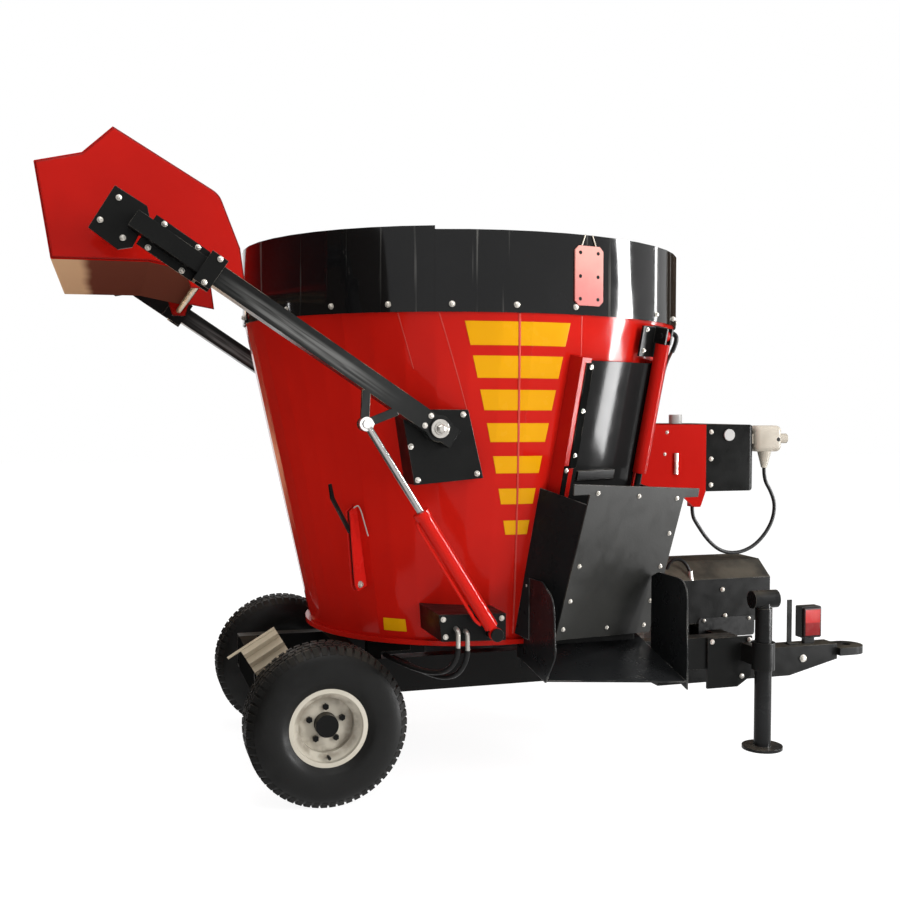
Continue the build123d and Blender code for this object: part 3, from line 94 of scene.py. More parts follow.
class Wire:
    """A shader socket. Sums, products and comparisons of it are Math nodes."""

    def __init__(self, finish, socket):
        self.finish = finish
        self.socket = socket

    def join(self, operation, first, second):
        return self.finish.node("ShaderNodeMath", {"operation": operation}, {0: first, 1: second})

    def __add__(self, other):
        return self.join("ADD", self, other)

    def __sub__(self, other):
        return self.join("SUBTRACT", self, other)

    def __rsub__(self, other):
        return self.join("SUBTRACT", other, self)

    def __mul__(self, other):
        return self.join("MULTIPLY", self, other)

    __radd__ = __add__
    __rmul__ = __mul__

    def __gt__(self, other):
        return self.join("GREATER_THAN", self, other)

    def __lt__(self, other):
        return self.join("LESS_THAN", self, other)


class Finish:
    """A procedural material on one Principled shader, in Object coordinates."""

    def __init__(self, name, **values):
        self.material = bpy.data.materials.new(name)
        self.material.use_nodes = True
        self.tree = self.material.node_tree
        self.shader = self.tree.nodes["Principled BSDF"]
        for socket, value in values.items():
            self.set(socket.replace("_", " "), value)
        self.place = self.node("ShaderNodeTexCoord", out="Object")

    def put(self, socket, value):
        """Links a wire to a socket, or writes a plain value there."""
        if isinstance(value, Wire):
            self.tree.links.new(value.socket, socket)
        elif socket.type == "RGBA":
            socket.default_value = (*value, 1)
        else:
            socket.default_value = value

    def set(self, socket, value):
        self.put(self.shader.inputs[socket], value)

    def node(self, kind, settings=None, inputs=None, out=0):
        """A node of any kind: its settings, then its sockets, and the output to go on from."""
        node = self.tree.nodes.new(kind)
        for key, value in (settings or {}).items():
            setattr(node, key, value)
        for key, value in (inputs or {}).items():
            self.put(node.inputs[key], value)
        return Wire(self, node.outputs[out])

    def colour(self):
        """The colour that the shader has been given so far."""
        return Wire(self, self.shader.inputs["Base Color"].links[0].from_socket)

    def normal(self):
        return self.node("ShaderNodeNewGeometry", out="Normal")

    def vector(self, operation, first, second=(0, 0, 0), out=0):
        inputs = {0: first, 1: second}
        return self.node("ShaderNodeVectorMath", {"operation": operation}, inputs, out)

    def coordinate(self, vector, letter):
        return self.node("ShaderNodeSeparateXYZ", {}, {0: vector}, letter)

    def noise(self, scale, detail=2.0, vector=None):
        inputs = {"Vector": vector or self.place, "Scale": scale, "Detail": detail}
        return self.node("ShaderNodeTexNoise", {}, inputs)

    def span(self, value, low, high, start=0.0, end=1.0):
        """A value eased from start at low to end at high."""
        inputs = {"Value": value, "From Min": low, "From Max": high, "To Min": start, "To Max": end}
        return self.node("ShaderNodeMapRange", {"interpolation_type": "SMOOTHSTEP"}, inputs)

    def mix(self, factor, first, second):
        inputs = {"Factor": factor, 6: first, 7: second}
        return self.node("ShaderNodeMix", {"data_type": "RGBA"}, inputs, out=2)

    def rounded(self, radius):
        return self.node("ShaderNodeBevel", {"samples": 4}, {"Radius": radius})

    def bump(self, height, distance, normal=None):
        inputs = {"Height": height, "Distance": distance, "Strength": 1.0}
        if normal:
            inputs["Normal"] = normal
        self.set("Normal", self.node("ShaderNodeBump", {}, inputs))

    def edges(self, radius):
        """1 on the part's sharp edges, 0 on its faces."""
        likeness = self.vector("DOT_PRODUCT", self.rounded(radius), self.normal(), "Value")
        return self.span(likeness, *EDGE_TURN)


def pipe_line(name, route, radius, around, along, smooth=True):
    """Curve of a round pipe along a route of points, with its steps around and along."""
    line = bpy.data.curves.new(name, "CURVE")
    line.dimensions = "3D"
    line.bevel_depth = radius
    line.bevel_resolution = around
    line.resolution_u = along
    line.use_fill_caps = True
    run = line.splines.new("NURBS" if smooth else "POLY")
    run.points.add(len(route) - 1)
    for point, spot in zip(run.points, route):
        point.co = (*spot, 1)
    if smooth:
        run.order_u = 3
        run.use_endpoint_u = True
    return line


rubber = Finish("hose rubber", Base_Color=HOSE_BLACK, Specular_IOR_Level=0.14)
rubber.set("Roughness", rubber.span(rubber.noise(HOSE_GRAIN), *NOISE_RANGE, *HOSE_GLOSS))

hose_points = [at(x, HOSE_SIDE, z) for x, z in HOSE_ROUTE]
hose_line = pipe_line("hose", hose_points, HOSE_DIAMETER / 2, around=4, along=8)
hose = bpy.data.objects.new("hose_cord", hose_line)
bpy.context.collection.objects.link(hose)
hose_line.materials.append(rubber.material)
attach(hose, "machine")
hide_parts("hose")

# Chassis: two painted box beams with cross members and a square axle, welded,
# and four black load cells that carry the tub. Dust has settled on the upper faces.
BLACK = (0.0075, 0.0077, 0.0074)
BLACK_DULL = (0.0050, 0.0051, 0.0049)
RUBBED = (0.17, 0.155, 0.13)
DUST = (0.098, 0.085, 0.064)
DUST_LEAN, DUST_PATCH = (0.35, 0.95), (0.30, 0.65)
CLOUD_NOISE, RUB_NOISE, DUST_NOISE = (2.2, 4), (9, 5), (5, 6)
GLOSS_NOISE, PEEL_NOISE = (14, 3), (110, 2)
GLOSS_LOW, GLOSS_HIGH = 0.85, 1.2


def dress(finish, *names):
    """Gives CAD nodes their material."""
    for name in names:
        nodes[name].data.materials.clear()
        nodes[name].data.materials.append(finish.material)


def coated(name, colour, dull, roughness, peel, wear=None, edge=0.003, dust=0.0, shine=0.08,
           worn=(0.44, 0.60), metal=0.0):
    """Sprayed or plated coat: clouded colour, orange peel and rounded edges.

    Worn edges and dust are added where they are given.
    """
    paint = Finish(name, Specular_IOR_Level=shine, Metallic=metal)
    base = paint.mix(paint.span(paint.noise(*CLOUD_NOISE), *NOISE_RANGE), dull, colour)
    if wear:
        rub = paint.edges(edge) * paint.span(paint.noise(*RUB_NOISE), *worn)
        base = paint.mix(rub, base, wear)
    if dust:
        upward = paint.span(paint.coordinate(paint.normal(), "Z"), *DUST_LEAN)
        lying = upward * paint.span(paint.noise(*DUST_NOISE), *DUST_PATCH) * dust
        base = paint.mix(lying, base, DUST)
    paint.set("Base Color", base)
    patches = paint.noise(*GLOSS_NOISE)
    smooth, rough = roughness * GLOSS_LOW, roughness * GLOSS_HIGH
    paint.set("Roughness", paint.span(patches, *NOISE_RANGE, smooth, rough))
    paint.bump(paint.noise(*PEEL_NOISE), peel, paint.rounded(edge))
    return paint


black = coated("black paint", BLACK, BLACK_DULL, roughness=0.36, peel=0.0003, wear=RUBBED, dust=0.5)
under_paint = coated("under paint", BLACK, BLACK_DULL, roughness=0.55, peel=0.0003, wear=RUBBED,
                     dust=0.4, shine=0.0)
dress(black, "beam_right", "beam_left")
dress(under_paint, "cross_members", "axle", "load_cells")

# Wheels: rubber tyres with moulded tread blocks on cream pressed rims, which are
# bolted to black hubs. The tyre is lathed and its blocks are set round the shoulders.
AXLE = (-0.757, 0.325)
HALF_TRACK = 0.625
TYRE_LINE = (
    (0.150, 0.070), (0.154, 0.084), (0.166, 0.096), (0.172, 0.099), (0.178, 0.106),
    (0.190, 0.1125), (0.203, 0.1160), (0.218, 0.1180), (0.234, 0.1180), (0.250, 0.1162),
    (0.266, 0.1125), (0.281, 0.1065), (0.294, 0.0985), (0.305, 0.0885), (0.3135, 0.0760),
    (0.3185, 0.0600), (0.3207, 0.0300),
)
TYRE_STEPS, TYRE_MERGE = 96, 0.00005
TREAD_R = 0.3235
BLOCK_TOP, BLOCK_END = 0.92, 0.80
TREAD_ROWS = {
    "shoulder": (58, (0.0275, 0.050, 0.0980, -0.028, 0.026), ((0, 0, 0), (0.5, 0, pi))),
    "centre": (66, (0.0255, -0.017, 0.017, -0.012, 0.002),
               ((0.25, -0.024, 0.25), (-0.25, 0.024, -0.25))),
}
DISC_SIDES, DISC_TAPER = 24, 0.96
VALVE_AT = (0.003, -0.122)
VALVE_STEM, VALVE_CAP = (0.050, 0.0055, 0.030), (0.078, 0.0065, 0.012)
SEAM_MERGE = 0.00001
# The rims' dishes: a noisy brown-grey ring of dirt, with painted shade darkening the recess.
DISH_RAMPS = ((0.060, 0.110), (0.142, 0.120))
DISH_NOISE, DISH_PATCH = (20, 5), (0.30, 0.62)
DISH_DIRT_AND_SHADE, DISH_DEPTH = (0.17, 0.14, 0.105), 0.65


def place(name, mesh, finish, body):
    """A finished mesh in the row frame becomes a piece that rides on a body."""
    piece = bpy.data.objects.new(name, mesh)
    bpy.context.collection.objects.link(piece)
    mesh.materials.clear()
    mesh.materials.append(finish.material)
    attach(piece, body)
    return piece


def from_bmesh(name, shape, smooth=False):
    """A bmesh as mesh data, with its normals made to point outwards."""
    bmesh.ops.recalc_face_normals(shape, faces=shape.faces)
    for face in shape.faces:
        face.smooth = smooth
    mesh = bpy.data.meshes.new(name)
    shape.to_mesh(mesh)
    shape.free()
    return mesh


def new_tree(name, output, **inputs):
    """Empty node tree with named inputs and one geometry output, and the inputs' identifiers."""
    tree = bpy.data.node_groups.new(name, "GeometryNodeTree")
    keys = {}
    for label, kind in inputs.items():
        socket = tree.interface.new_socket(label, in_out="INPUT", socket_type="NodeSocket" + kind)
        keys[label] = socket.identifier
    tree.interface.new_socket(output, in_out="OUTPUT", socket_type="NodeSocketGeometry")
    return tree, keys


def wire_up(tree, links):
    """Joins a node's output to a node's input for each link."""
    for start, leaving, end, entering in links:
        tree.links.new(start.outputs[leaving], end.inputs[entering])


def copy_tree():
    """Tree that sets a piece on every point, turned by the point's turn attribute."""
    tree, keys = new_tree("copies", "Copies", Points="Geometry", Piece="Object", Finish="Material",
                          Size="Float")
    kinds = ("NodeGroupInput", "NodeGroupOutput", "GeometryNodeObjectInfo",
             "GeometryNodeInputNamedAttribute", "FunctionNodeEulerToRotation",
             "GeometryNodeInstanceOnPoints", "GeometryNodeRealizeInstances",
             "GeometryNodeSetMaterial")
    given, result, piece, turn_of, spin, put, real, paint = (tree.nodes.new(kind) for kind in kinds)
    turn_of.data_type = "FLOAT_VECTOR"
    turn_of.inputs["Name"].default_value = "turn"
    wire_up(tree, (
        (given, "Points", put, "Points"), (given, "Piece", piece, "Object"),
        (given, "Size", put, "Scale"), (given, "Finish", paint, "Material"),
        (piece, "Geometry", put, "Instance"), (turn_of, "Attribute", spin, "Euler"),
        (spin, "Rotation", put, "Rotation"), (put, "Instances", real, "Geometry"),
        (real, "Geometry", paint, "Geometry"), (paint, "Geometry", result, "Copies"),
    ))
    return tree, keys


def soft_tree():
    """Tree that shades a mesh smoothly except at steep edges and where plates meet."""
    tree, keys = new_tree("soften", "Mesh", Mesh="Geometry", Limit="Float")
    kinds = ("NodeGroupInput", "NodeGroupOutput", "GeometryNodeMergeByDistance",
             "GeometryNodeSetShadeSmooth", "GeometryNodeInputMeshEdgeAngle",
             "GeometryNodeInputMeshEdgeNeighbors", "FunctionNodeCompare", "FunctionNodeCompare",
             "FunctionNodeBooleanMath", "GeometryNodeStoreNamedAttribute")
    given, result, weld, shade, angle, near, steep, seam, either, store = (
        tree.nodes.new(kind) for kind in kinds)
    weld.inputs["Distance"].default_value = SEAM_MERGE
    seam.data_type = "INT"
    seam.operation = "NOT_EQUAL"
    seam.inputs[3].default_value = 2
    either.operation = "OR"
    store.data_type = "BOOLEAN"
    store.domain = "EDGE"
    store.inputs["Name"].default_value = "sharp_edge"
    wire_up(tree, (
        (given, "Mesh", weld, "Geometry"), (weld, "Geometry", shade, "Geometry"),
        (shade, "Geometry", store, "Geometry"), (angle, "Unsigned Angle", steep, 0),
        (given, "Limit", steep, 1), (near, "Face Count", seam, 2),
        (steep, "Result", either, 0), (seam, "Result", either, 1),
        (either, "Boolean", store, "Value"), (store, "Geometry", result, "Mesh"),
    ))
    return tree, keys


copies_tree, copies_inputs = copy_tree()
soften_tree, soften_inputs = soft_tree()


def copies(name, pattern, places, finish, body, size=1.0):
    """One pattern mesh set at many places, as one plain mesh that rides on a body."""
    cloud = bpy.data.meshes.new(name + " points")
    cloud.from_pydata([spot.translation for spot in places], [], [])
    turns = cloud.attributes.new("turn", "FLOAT_VECTOR", "POINT")
    for turned, spot in zip(turns.data, places):
        turned.vector = spot.to_euler()
    holder = bpy.data.objects.new(name + " points", cloud)
    model = bpy.data.objects.new(name + " pattern", pattern)
    for made in (holder, model):
        bpy.context.collection.objects.link(made)
    modifier = holder.modifiers.new("copies", "NODES")
    modifier.node_group = copies_tree
    modifier[copies_inputs["Piece"]] = model
    modifier[copies_inputs["Finish"]] = finish.material
    modifier[copies_inputs["Size"]] = size
    ready = holder.evaluated_get(bpy.context.evaluated_depsgraph_get())
    mesh = bpy.data.meshes.new_from_object(ready)
    for made in (holder, model):
        bpy.data.objects.remove(made)
    return place(name, mesh, finish, body)


def soften(limit, *names):
    """Shades CAD nodes smoothly, except at edges sharper than limit degrees."""
    for name in names:
        modifier = nodes[name].modifiers.new("soften", "NODES")
        modifier.node_group = soften_tree
        modifier[soften_inputs["Limit"]] = radians(limit)


def tyre_mesh(side):
    """Lathed tyre with shoulder steps, about its own axle on one side of the machine."""
    shape = bmesh.new()
    line = [*TYRE_LINE, *((r, -y) for r, y in reversed(TYRE_LINE))]
    loop = [shape.verts.new((r, y, 0)) for r, y in line]
    edges = [shape.edges.new(pair) for pair in zip(loop, loop[1:])]
    bmesh.ops.spin(shape, geom=loop + edges, cent=(0, 0, 0), axis=(0, 1, 0), angle=2 * pi,
                   steps=TYRE_STEPS)
    bmesh.ops.remove_doubles(shape, verts=shape.verts, dist=TYRE_MERGE)
    bmesh.ops.translate(shape, verts=shape.verts, vec=at(AXLE[0], side * HALF_TRACK, AXLE[1]))
    return from_bmesh("tyre", shape, True)


def block_mesh(length, inner, outer, low, reach):
    """Tread block standing on z, from inner to outer across the tread, with a sloping outer end."""
    shape = bmesh.new()
    half = length / 2
    ends = [(inner, low, half), (inner, 0, half * BLOCK_TOP), (outer - reach, 0, half * BLOCK_TOP),
            (outer, low, half * BLOCK_END)]
    sides = [[shape.verts.new((side * x, y, z)) for y, z, x in ends] for side in (-1, 1)]
    for a, b in ((0, 1), (1, 2), (2, 3), (3, 0)):
        shape.faces.new((sides[0][a], sides[0][b], sides[1][b], sides[1][a]))
    shape.faces.new(sides[0])
    shape.faces.new(sides[1])
    return from_bmesh("block", shape)


def tread_row(middle, count, start, shift, lay):
    """Places of one row of blocks round a wheel: its first step, shift across and turn."""
    on_tread = Matrix.Translation((0, shift, TREAD_R)) @ Matrix.Rotation(lay, 4, "Z")
    return [middle @ Matrix.Rotation((k + start) * 2 * pi / count, 4, "Y") @ on_tread
            for k in range(count)]


def disc_mesh(radius, height):
    """Flat round disc standing on z."""
    shape = bmesh.new()
    bmesh.ops.create_cone(shape, cap_ends=True, segments=DISC_SIDES, radius1=radius,
                          radius2=radius * DISC_TAPER, depth=height,
                          matrix=Matrix.Translation((0, 0, height / 2)))
    return from_bmesh("disc", shape)


def facing(point, normal):
    """Place at a point with its z along the normal."""
    turned = Vector(normal).to_track_quat("Z", "Y").to_matrix().to_4x4()
    return Matrix.Translation(point) @ turned


rim_paint = coated("rim paint", (0.64, 0.60, 0.51), (0.50, 0.46, 0.38), roughness=0.40, peel=0.0002,
                   dust=0.4)
tyre_rubber = coated("tyre rubber", (0.0062, 0.0062, 0.0058), (0.0040, 0.0040, 0.0037),
                     roughness=0.50, peel=0.0004, dust=0.10, shine=0.18)
block_rubber = coated("block rubber", (0.010, 0.0095, 0.0085), (0.005, 0.005, 0.0046),
                      roughness=0.60, peel=0.0004, dust=0.40, shine=0.12)
# Darkens each rim's dish in a ring: dirt, with painted shade in the recess.
from_axle = rim_paint.vector("SUBTRACT", rim_paint.place, at(AXLE[0], 0, AXLE[1]))
from_axle = rim_paint.vector("MULTIPLY", from_axle, (1, 0, 1))
rim_reach = rim_paint.vector("LENGTH", from_axle, out="Value")
dish_dirt_and_shade = rim_paint.span(rim_paint.noise(*DISH_NOISE), *DISH_PATCH) * DISH_DEPTH
for ramp in DISH_RAMPS:
    dish_dirt_and_shade = dish_dirt_and_shade * rim_paint.span(rim_reach, *ramp)
rim_paint.set("Base Color", rim_paint.mix(dish_dirt_and_shade, rim_paint.colour(), DISH_DIRT_AND_SHADE))
dress(rim_paint, "rim_right", "rim_left")
dress(black, "hub_right", "hub_left")
soften(28, "rim_right", "rim_left", "hub_right", "hub_left")
for side, word in ((-1, "right"), (1, "left")):
    tyre = place("tyre_" + word + "_rubber", tyre_mesh(side), tyre_rubber, "wheel_" + word)
    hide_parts("tyre_" + word)
    middle = Matrix.Translation(at(AXLE[0], side * HALF_TRACK, AXLE[1]))
    for row, (count, block, lanes) in TREAD_ROWS.items():
        spots = [spot for lane in lanes for spot in tread_row(middle, count, *lane)]
        copies(row + "_blocks_" + word, block_mesh(*block), spots, block_rubber, "wheel_" + word)
    for piece, (reach, radius, height), finish in (("valve_", VALVE_STEM, tyre_rubber),
                                                   ("valve_cap_", VALVE_CAP, block_rubber)):
        spot = at(AXLE[0] + VALVE_AT[0], side * (HALF_TRACK + reach), AXLE[1] + VALVE_AT[1])
        copies(piece + word, disc_mesh(radius, height), [facing(spot, (0, side, 0))], finish,
               "wheel_" + word)

# Tub: eight bent steel plates welded along their edges, gloss red inside and out,
# with plain tapering yellow bars and a bare yellow tab stuck on the right-hand wall.
TUB_LOW, TUB_HIGH = 0.637, 1.992
TUB_LOW_R, TUB_HIGH_R = 0.706, 1.000
FACET = 7.5
FACET_FLAT = cos(radians(FACET / 2))
BAR_COUNT = 7
BAR_TOP, BAR_PITCH, BAR_HEIGHT, BAR_THINNING = 1.935, 0.132, 0.092, 0.06
BAR_TOP_ARC, BAR_TAPER = 12.6, 0.80
SEAM_TOP, SEAM_LOW, SEAM_HALF = -93.5, -88.6, 0.25
WELD_FOOT, WELD_TOP = 0.66, 1.966
# Fold lines painted as pale highlights: azimuth at the rim, azimuth at the foot, and the height of
# the foot.
FOLD_HIGHLIGHTS = ((-121.0, -118.0, 1.75), (-111.6, -104.5, 1.55), (-77.8, -76.0, 1.74))
FOLD_TOP_HALF, FOLD_LOW_HALF = 0.16, 0.10
TAB = ((-133.2, -124.8, 0.668), (-133.0, -125.0, 0.722))
FILM = 0.0012
RED = (0.52, 0.0110, 0.0060)
RED_DULL = (0.46, 0.0090, 0.0050)


def up_wall(z, low, high):
    """A value that runs from low at the wall's foot to high at its rim."""
    return low + (high - low) * (z - TUB_LOW) / (TUB_HIGH - TUB_LOW)


def wall_at(azimuth, z, lift=0.0):
    """Point on the tub's facetted wall at an azimuth in degrees, lifted off it."""
    middle = FACET * (azimuth // FACET) + FACET / 2
    radius = up_wall(z, TUB_LOW_R, TUB_HIGH_R) * FACET_FLAT / cos(radians(azimuth - middle)) + lift
    return at(radius * cos(radians(azimuth)), radius * sin(radians(azimuth)), z)


def film(name, corners, finish, lift=FILM, rows=6, steps=24):
    """Thin sheet on the wall between (left, right, z) at its lower and at its upper edge."""
    (left0, right0, z0), (left1, right1, z1) = corners
    shape = bmesh.new()
    layers = []
    for height in (-FILM / 2, lift):
        grid = []
        for row in range(rows + 1):
            share = row / rows
            left, right = left0 + (left1 - left0) * share, right0 + (right1 - right0) * share
            z = z0 + (z1 - z0) * share
            grid.append([shape.verts.new(wall_at(left + (right - left) * step / steps, z, height))
                         for step in range(steps + 1)])
        layers.append(grid)
    for grid in layers:
        for lower, upper in zip(grid, grid[1:]):
            for step in range(steps):
                shape.faces.new((lower[step], lower[step + 1], upper[step + 1], upper[step]))
    rims = [grid[0] + [row[-1] for row in grid[1:]] + grid[-1][-2::-1]
            + [row[0] for row in grid[-2:0:-1]] for grid in layers]
    for k in range(len(rims[0])):
        shape.faces.new((rims[0][k - 1], rims[0][k], rims[1][k], rims[1][k - 1]))
    return place(name, from_bmesh(name, shape), finish, "machine")


def across(middle, half, z):
    """A film's edge at a height: its left and right azimuth."""
    return middle - half, middle + half, z


def bar_edge(z):
    """A yellow bar's edge at a height, on the line of the weld and within the row's taper."""
    half = BAR_TOP_ARC * (1 - BAR_TAPER * (BAR_TOP - z) / (BAR_COUNT * BAR_PITCH))
    return across(up_wall(z, SEAM_LOW, SEAM_TOP), half, z)


red = coated("red paint", RED, RED_DULL, roughness=0.09, peel=0.00006, edge=0.002, shine=0.075)
yellow = coated("yellow film", (0.72, 0.335, 0.002), (0.66, 0.30, 0.002), roughness=0.24,
                peel=0.00004)
# Pale pink for the strips painted as highlights on the weld and the folds.
pale_highlight = coated("weld and fold highlight", (0.60, 0.075, 0.060), (0.48, 0.040, 0.032), roughness=0.30, peel=0.0002)
dress(red, "tub_wall", "tub_floor")
soften(16, "tub_wall")
soften(30, "tub_floor")
for k in range(BAR_COUNT):
    high = BAR_TOP - k * BAR_PITCH
    low = high - BAR_HEIGHT * (1 - BAR_THINNING * k)
    film("yellow_bar_%d" % k, (bar_edge(low), bar_edge(high)), yellow)
# Pale pink strips along the weld and three fold lines: painted highlights where the seam and the
# bends catch the light.
weld = across(SEAM_LOW, SEAM_HALF, WELD_FOOT), across(SEAM_TOP, SEAM_HALF, WELD_TOP)
film("weld_line", weld, pale_highlight, lift=2.5 * FILM, rows=24, steps=4)
film("yellow_tab", TAB, yellow, rows=2)
for number, (top, low, end) in enumerate(FOLD_HIGHLIGHTS):
    fold = across(low, FOLD_LOW_HALF, end), across(top, FOLD_TOP_HALF, WELD_TOP)
    film("fold_%d" % number, fold, pale_highlight, lift=FILM / 2, rows=8, steps=3)

# Extension band: rolled gloss sheet in two halves, lapped over the tub's rim and
# held by a ring of plated bolts, one of them flush where the door slides past.
BAND_R = 1.005
BAND_WAVE, BAND_WAVE_HEIGHT = (1.6, 1), 0.026
BAND_EDGE = 0.002
# Stretch, detail, patch and grey of the vertical streaks painted on the band as reflections.
BAND_STREAK_STRETCH, STREAK_DETAIL, STREAK_PATCH = (26, 26, 0.9), 3.0, (0.62, 0.76)
STREAK_REFLECTION_GREY = (0.11, 0.108, 0.10)
BAND_BOLTS = 25
FIRST_BOLT = -137.5
FLUSH_BOLT, FLUSH_DISC = 5, (0.011, 0.0012)
BOLT_Z, BOLT_SINK = 1.998, 0.0015
BOLT_STAGES = ((24, 0.0165, 0.0155, 0.0, 0.004), (6, 0.0125, 0.0125, 0.004, 0.011),
               (6, 0.0125, 0.0070, 0.011, 0.0145))


def bolt_mesh():
    """Washer and chamfered hexagon head standing on z."""
    shape = bmesh.new()
    for count, low, high, start, end in BOLT_STAGES:
        shift = Matrix.Translation((0, 0, (start + end) / 2))
        bmesh.ops.create_cone(shape, cap_ends=True, segments=count, radius1=low, radius2=high,
                              depth=end - start, matrix=shift)
    return from_bmesh("bolt", shape)


def bolts(name, spots, body, size):
    """Bolts at points with their normals."""
    places = [facing(point, normal) for point, normal in spots]
    copies(name, bolt_mesh(), places, bolt_zinc, body, size)


bolt_zinc = coated("bolt plate", (0.66, 0.63, 0.58), (0.46, 0.43, 0.38), roughness=0.30,
                   peel=0.00005, edge=0.001, metal=0.55)
gloss = coated("band paint", (0.0070, 0.0070, 0.0072), (0.0050, 0.0050, 0.0052), roughness=0.075,
               peel=0.00002, edge=BAND_EDGE, shine=0.24)
gloss.bump(gloss.noise(*BAND_WAVE), BAND_WAVE_HEIGHT, gloss.rounded(BAND_EDGE))
# Grey vertical streaks in the band's colour: painted reflections running down the gloss.
drawn = gloss.node("ShaderNodeMapping", {}, {0: gloss.place, "Scale": BAND_STREAK_STRETCH})
reflection_streaks = gloss.span(gloss.noise(1.0, STREAK_DETAIL, drawn), *STREAK_PATCH)
gloss.set("Base Color", gloss.mix(reflection_streaks, gloss.colour(), STREAK_REFLECTION_GREY))
dress(gloss, "band_front", "band_rear")
soften(16, "band_front", "band_rear")
ring = []
for k in range(BAND_BOLTS):
    turned = radians(FIRST_BOLT + 360 / BAND_BOLTS * k)
    outward = Vector((cos(turned), sin(turned), 0))
    ring.append((at(0, 0, BOLT_Z) + outward * (BAND_R - BOLT_SINK), outward))
proud = [spot for k, spot in enumerate(ring) if k != FLUSH_BOLT]
bolts("band_bolts", proud, "machine", size=0.75)
copies("flush_bolt", disc_mesh(*FLUSH_DISC), [facing(*ring[FLUSH_BOLT])], bolt_zinc, "machine")

# Hanging plate: flat steel bar with six drilled holes, sprayed thinly in red that turns paler
# towards its top, and tied to the band's rim with wire.
TAG_AZIMUTH, TAG_LOW, TAG_HEIGHT, TAG_T = -78.75, 2.005, 0.235, 0.008
TAG_SHIFT, TAG_HOLE_HALF = 0.038, 0.042
TAG_ROWS, TAG_HOLE = (0.026, 0.115, 0.208), (0.0075, 0.0006)
TAG_CLOUD, TAG_CLOUD_DEPTH = (7, 4), 0.16
TAG_GRAIN, TAG_PEEL, TAG_EDGE = 90, 0.0002, 0.002
TAG_RED, TAG_PALE, TAG_WIRE = (0.48, 0.10, 0.085), (0.64, 0.25, 0.20), (0.60, 0.54, 0.44)
TAG_TOP = TAG_LOW + TAG_HEIGHT
TAG_TIE = TAG_TOP + 0.001

tag_paint = Finish("tag paint", Roughness=0.42)
tag_height = tag_paint.coordinate(tag_paint.place, "Z")
tag_cloud = tag_paint.noise(*TAG_CLOUD) * TAG_CLOUD_DEPTH - TAG_CLOUD_DEPTH / 2
tag_paling = tag_paint.span(tag_height + tag_cloud, TAG_LOW, TAG_TOP)
tag_body = tag_paint.mix(tag_paling, TAG_RED, TAG_PALE)
tag_paint.set("Base Color", tag_paint.mix(tag_height > TAG_TIE, tag_body, TAG_WIRE))
tag_paint.bump(tag_paint.noise(TAG_GRAIN), TAG_PEEL, tag_paint.rounded(TAG_EDGE))
dress(tag_paint, "hanging_plate")
tag_turn = radians(TAG_AZIMUTH)
tag_out = Vector((cos(tag_turn), sin(tag_turn), 0))
tag_along = Vector((-sin(tag_turn), cos(tag_turn), 0))
tag_face = at(0, 0, TAG_LOW) + tag_out * (BAND_R * FACET_FLAT + TAG_T)
holes = [facing(tag_face + tag_along * along + Vector((0, 0, row)), tag_out)
         for row in TAG_ROWS for along in (TAG_SHIFT - TAG_HOLE_HALF, TAG_SHIFT + TAG_HOLE_HALF)]
copies("tag_holes", disc_mesh(*TAG_HOLE), holes, black, "machine")

# Auger: tapering core and helical flighting in steel worn bright by the feed, welded
# together, with knives bolted along the flighting's edge.
steel = coated("auger steel", (0.34, 0.32, 0.30), (0.17, 0.15, 0.13), roughness=0.40, peel=0.0003,
               edge=0.002, dust=0.3, metal=0.75)
dress(steel, "auger_core", "auger_flight", "auger_knives")
soften(30, "auger_core", "auger_flight")

# Drive line: cast reducer and gear case, plated shafts and a folded sheet guard, with
# a rubber flap under its side and a short hose that comes out through its slope.
GUARD_SIDE = -0.215
GUARD_BOLTS = ((1.291, 0.711), (1.307, 0.580), (1.050, 0.711))
FLAP, FLAP_CORNER = ((1.160, -0.219, 0.478), (1.470, -0.215, 0.575)), 0.014
FLAP_BOLTS = ((1.190, 0.562), (1.440, 0.562))
GUARD_HOSE = ((1.020, -0.140, 0.805), (1.032, -0.150, 0.850), (1.075, -0.162, 0.868),
              (1.112, -0.182, 0.840), (1.122, -0.198, 0.795))
GUARD_NIPPLE = ((1.124, -0.206, 0.760), (1.122, -0.197, 0.805))
GUARD_HOSE_R, NIPPLE_R = 0.008, 0.0105


def tube(name, route, radius, finish, body, smooth=True):
    """Round pipe along a route of points in the row frame, as a plain mesh."""
    line = pipe_line(name, route, radius, around=3, along=6, smooth=smooth)
    holder = bpy.data.objects.new(name + " line", line)
    bpy.context.collection.objects.link(holder)
    ready = holder.evaluated_get(bpy.context.evaluated_depsgraph_get())
    mesh = bpy.data.meshes.new_from_object(ready)
    bpy.data.objects.remove(holder)
    return place(name, mesh, finish, body)


def slab(name, low, high, bevel, finish, body, slot):
    """Plate with rounded corners between two corners, given from the tub's axis."""
    shape = bmesh.new()
    bmesh.ops.create_cube(shape, size=1)
    for vert in shape.verts:
        vert.co = at(*(a + (b - a) * (part + 0.5) for a, b, part in zip(low, high, vert.co)))
    thin = min(range(3), key=lambda k: high[k] - low[k])
    corners = [edge for edge in shape.edges
               if abs(edge.verts[0].co[thin] - edge.verts[1].co[thin]) > 0.0005]
    bmesh.ops.bevel(shape, geom=corners, offset=bevel, segments=4, profile=0.5, affect="EDGES")
    return place(name, from_bmesh(name, shape), finish, body)


def right_bolts(name, y, spots, size):
    """Bolts on a face of the machine that looks to its right."""
    bolts(name, [(at(x, y, z), (0, -1, 0)) for x, z in spots], "machine", size)


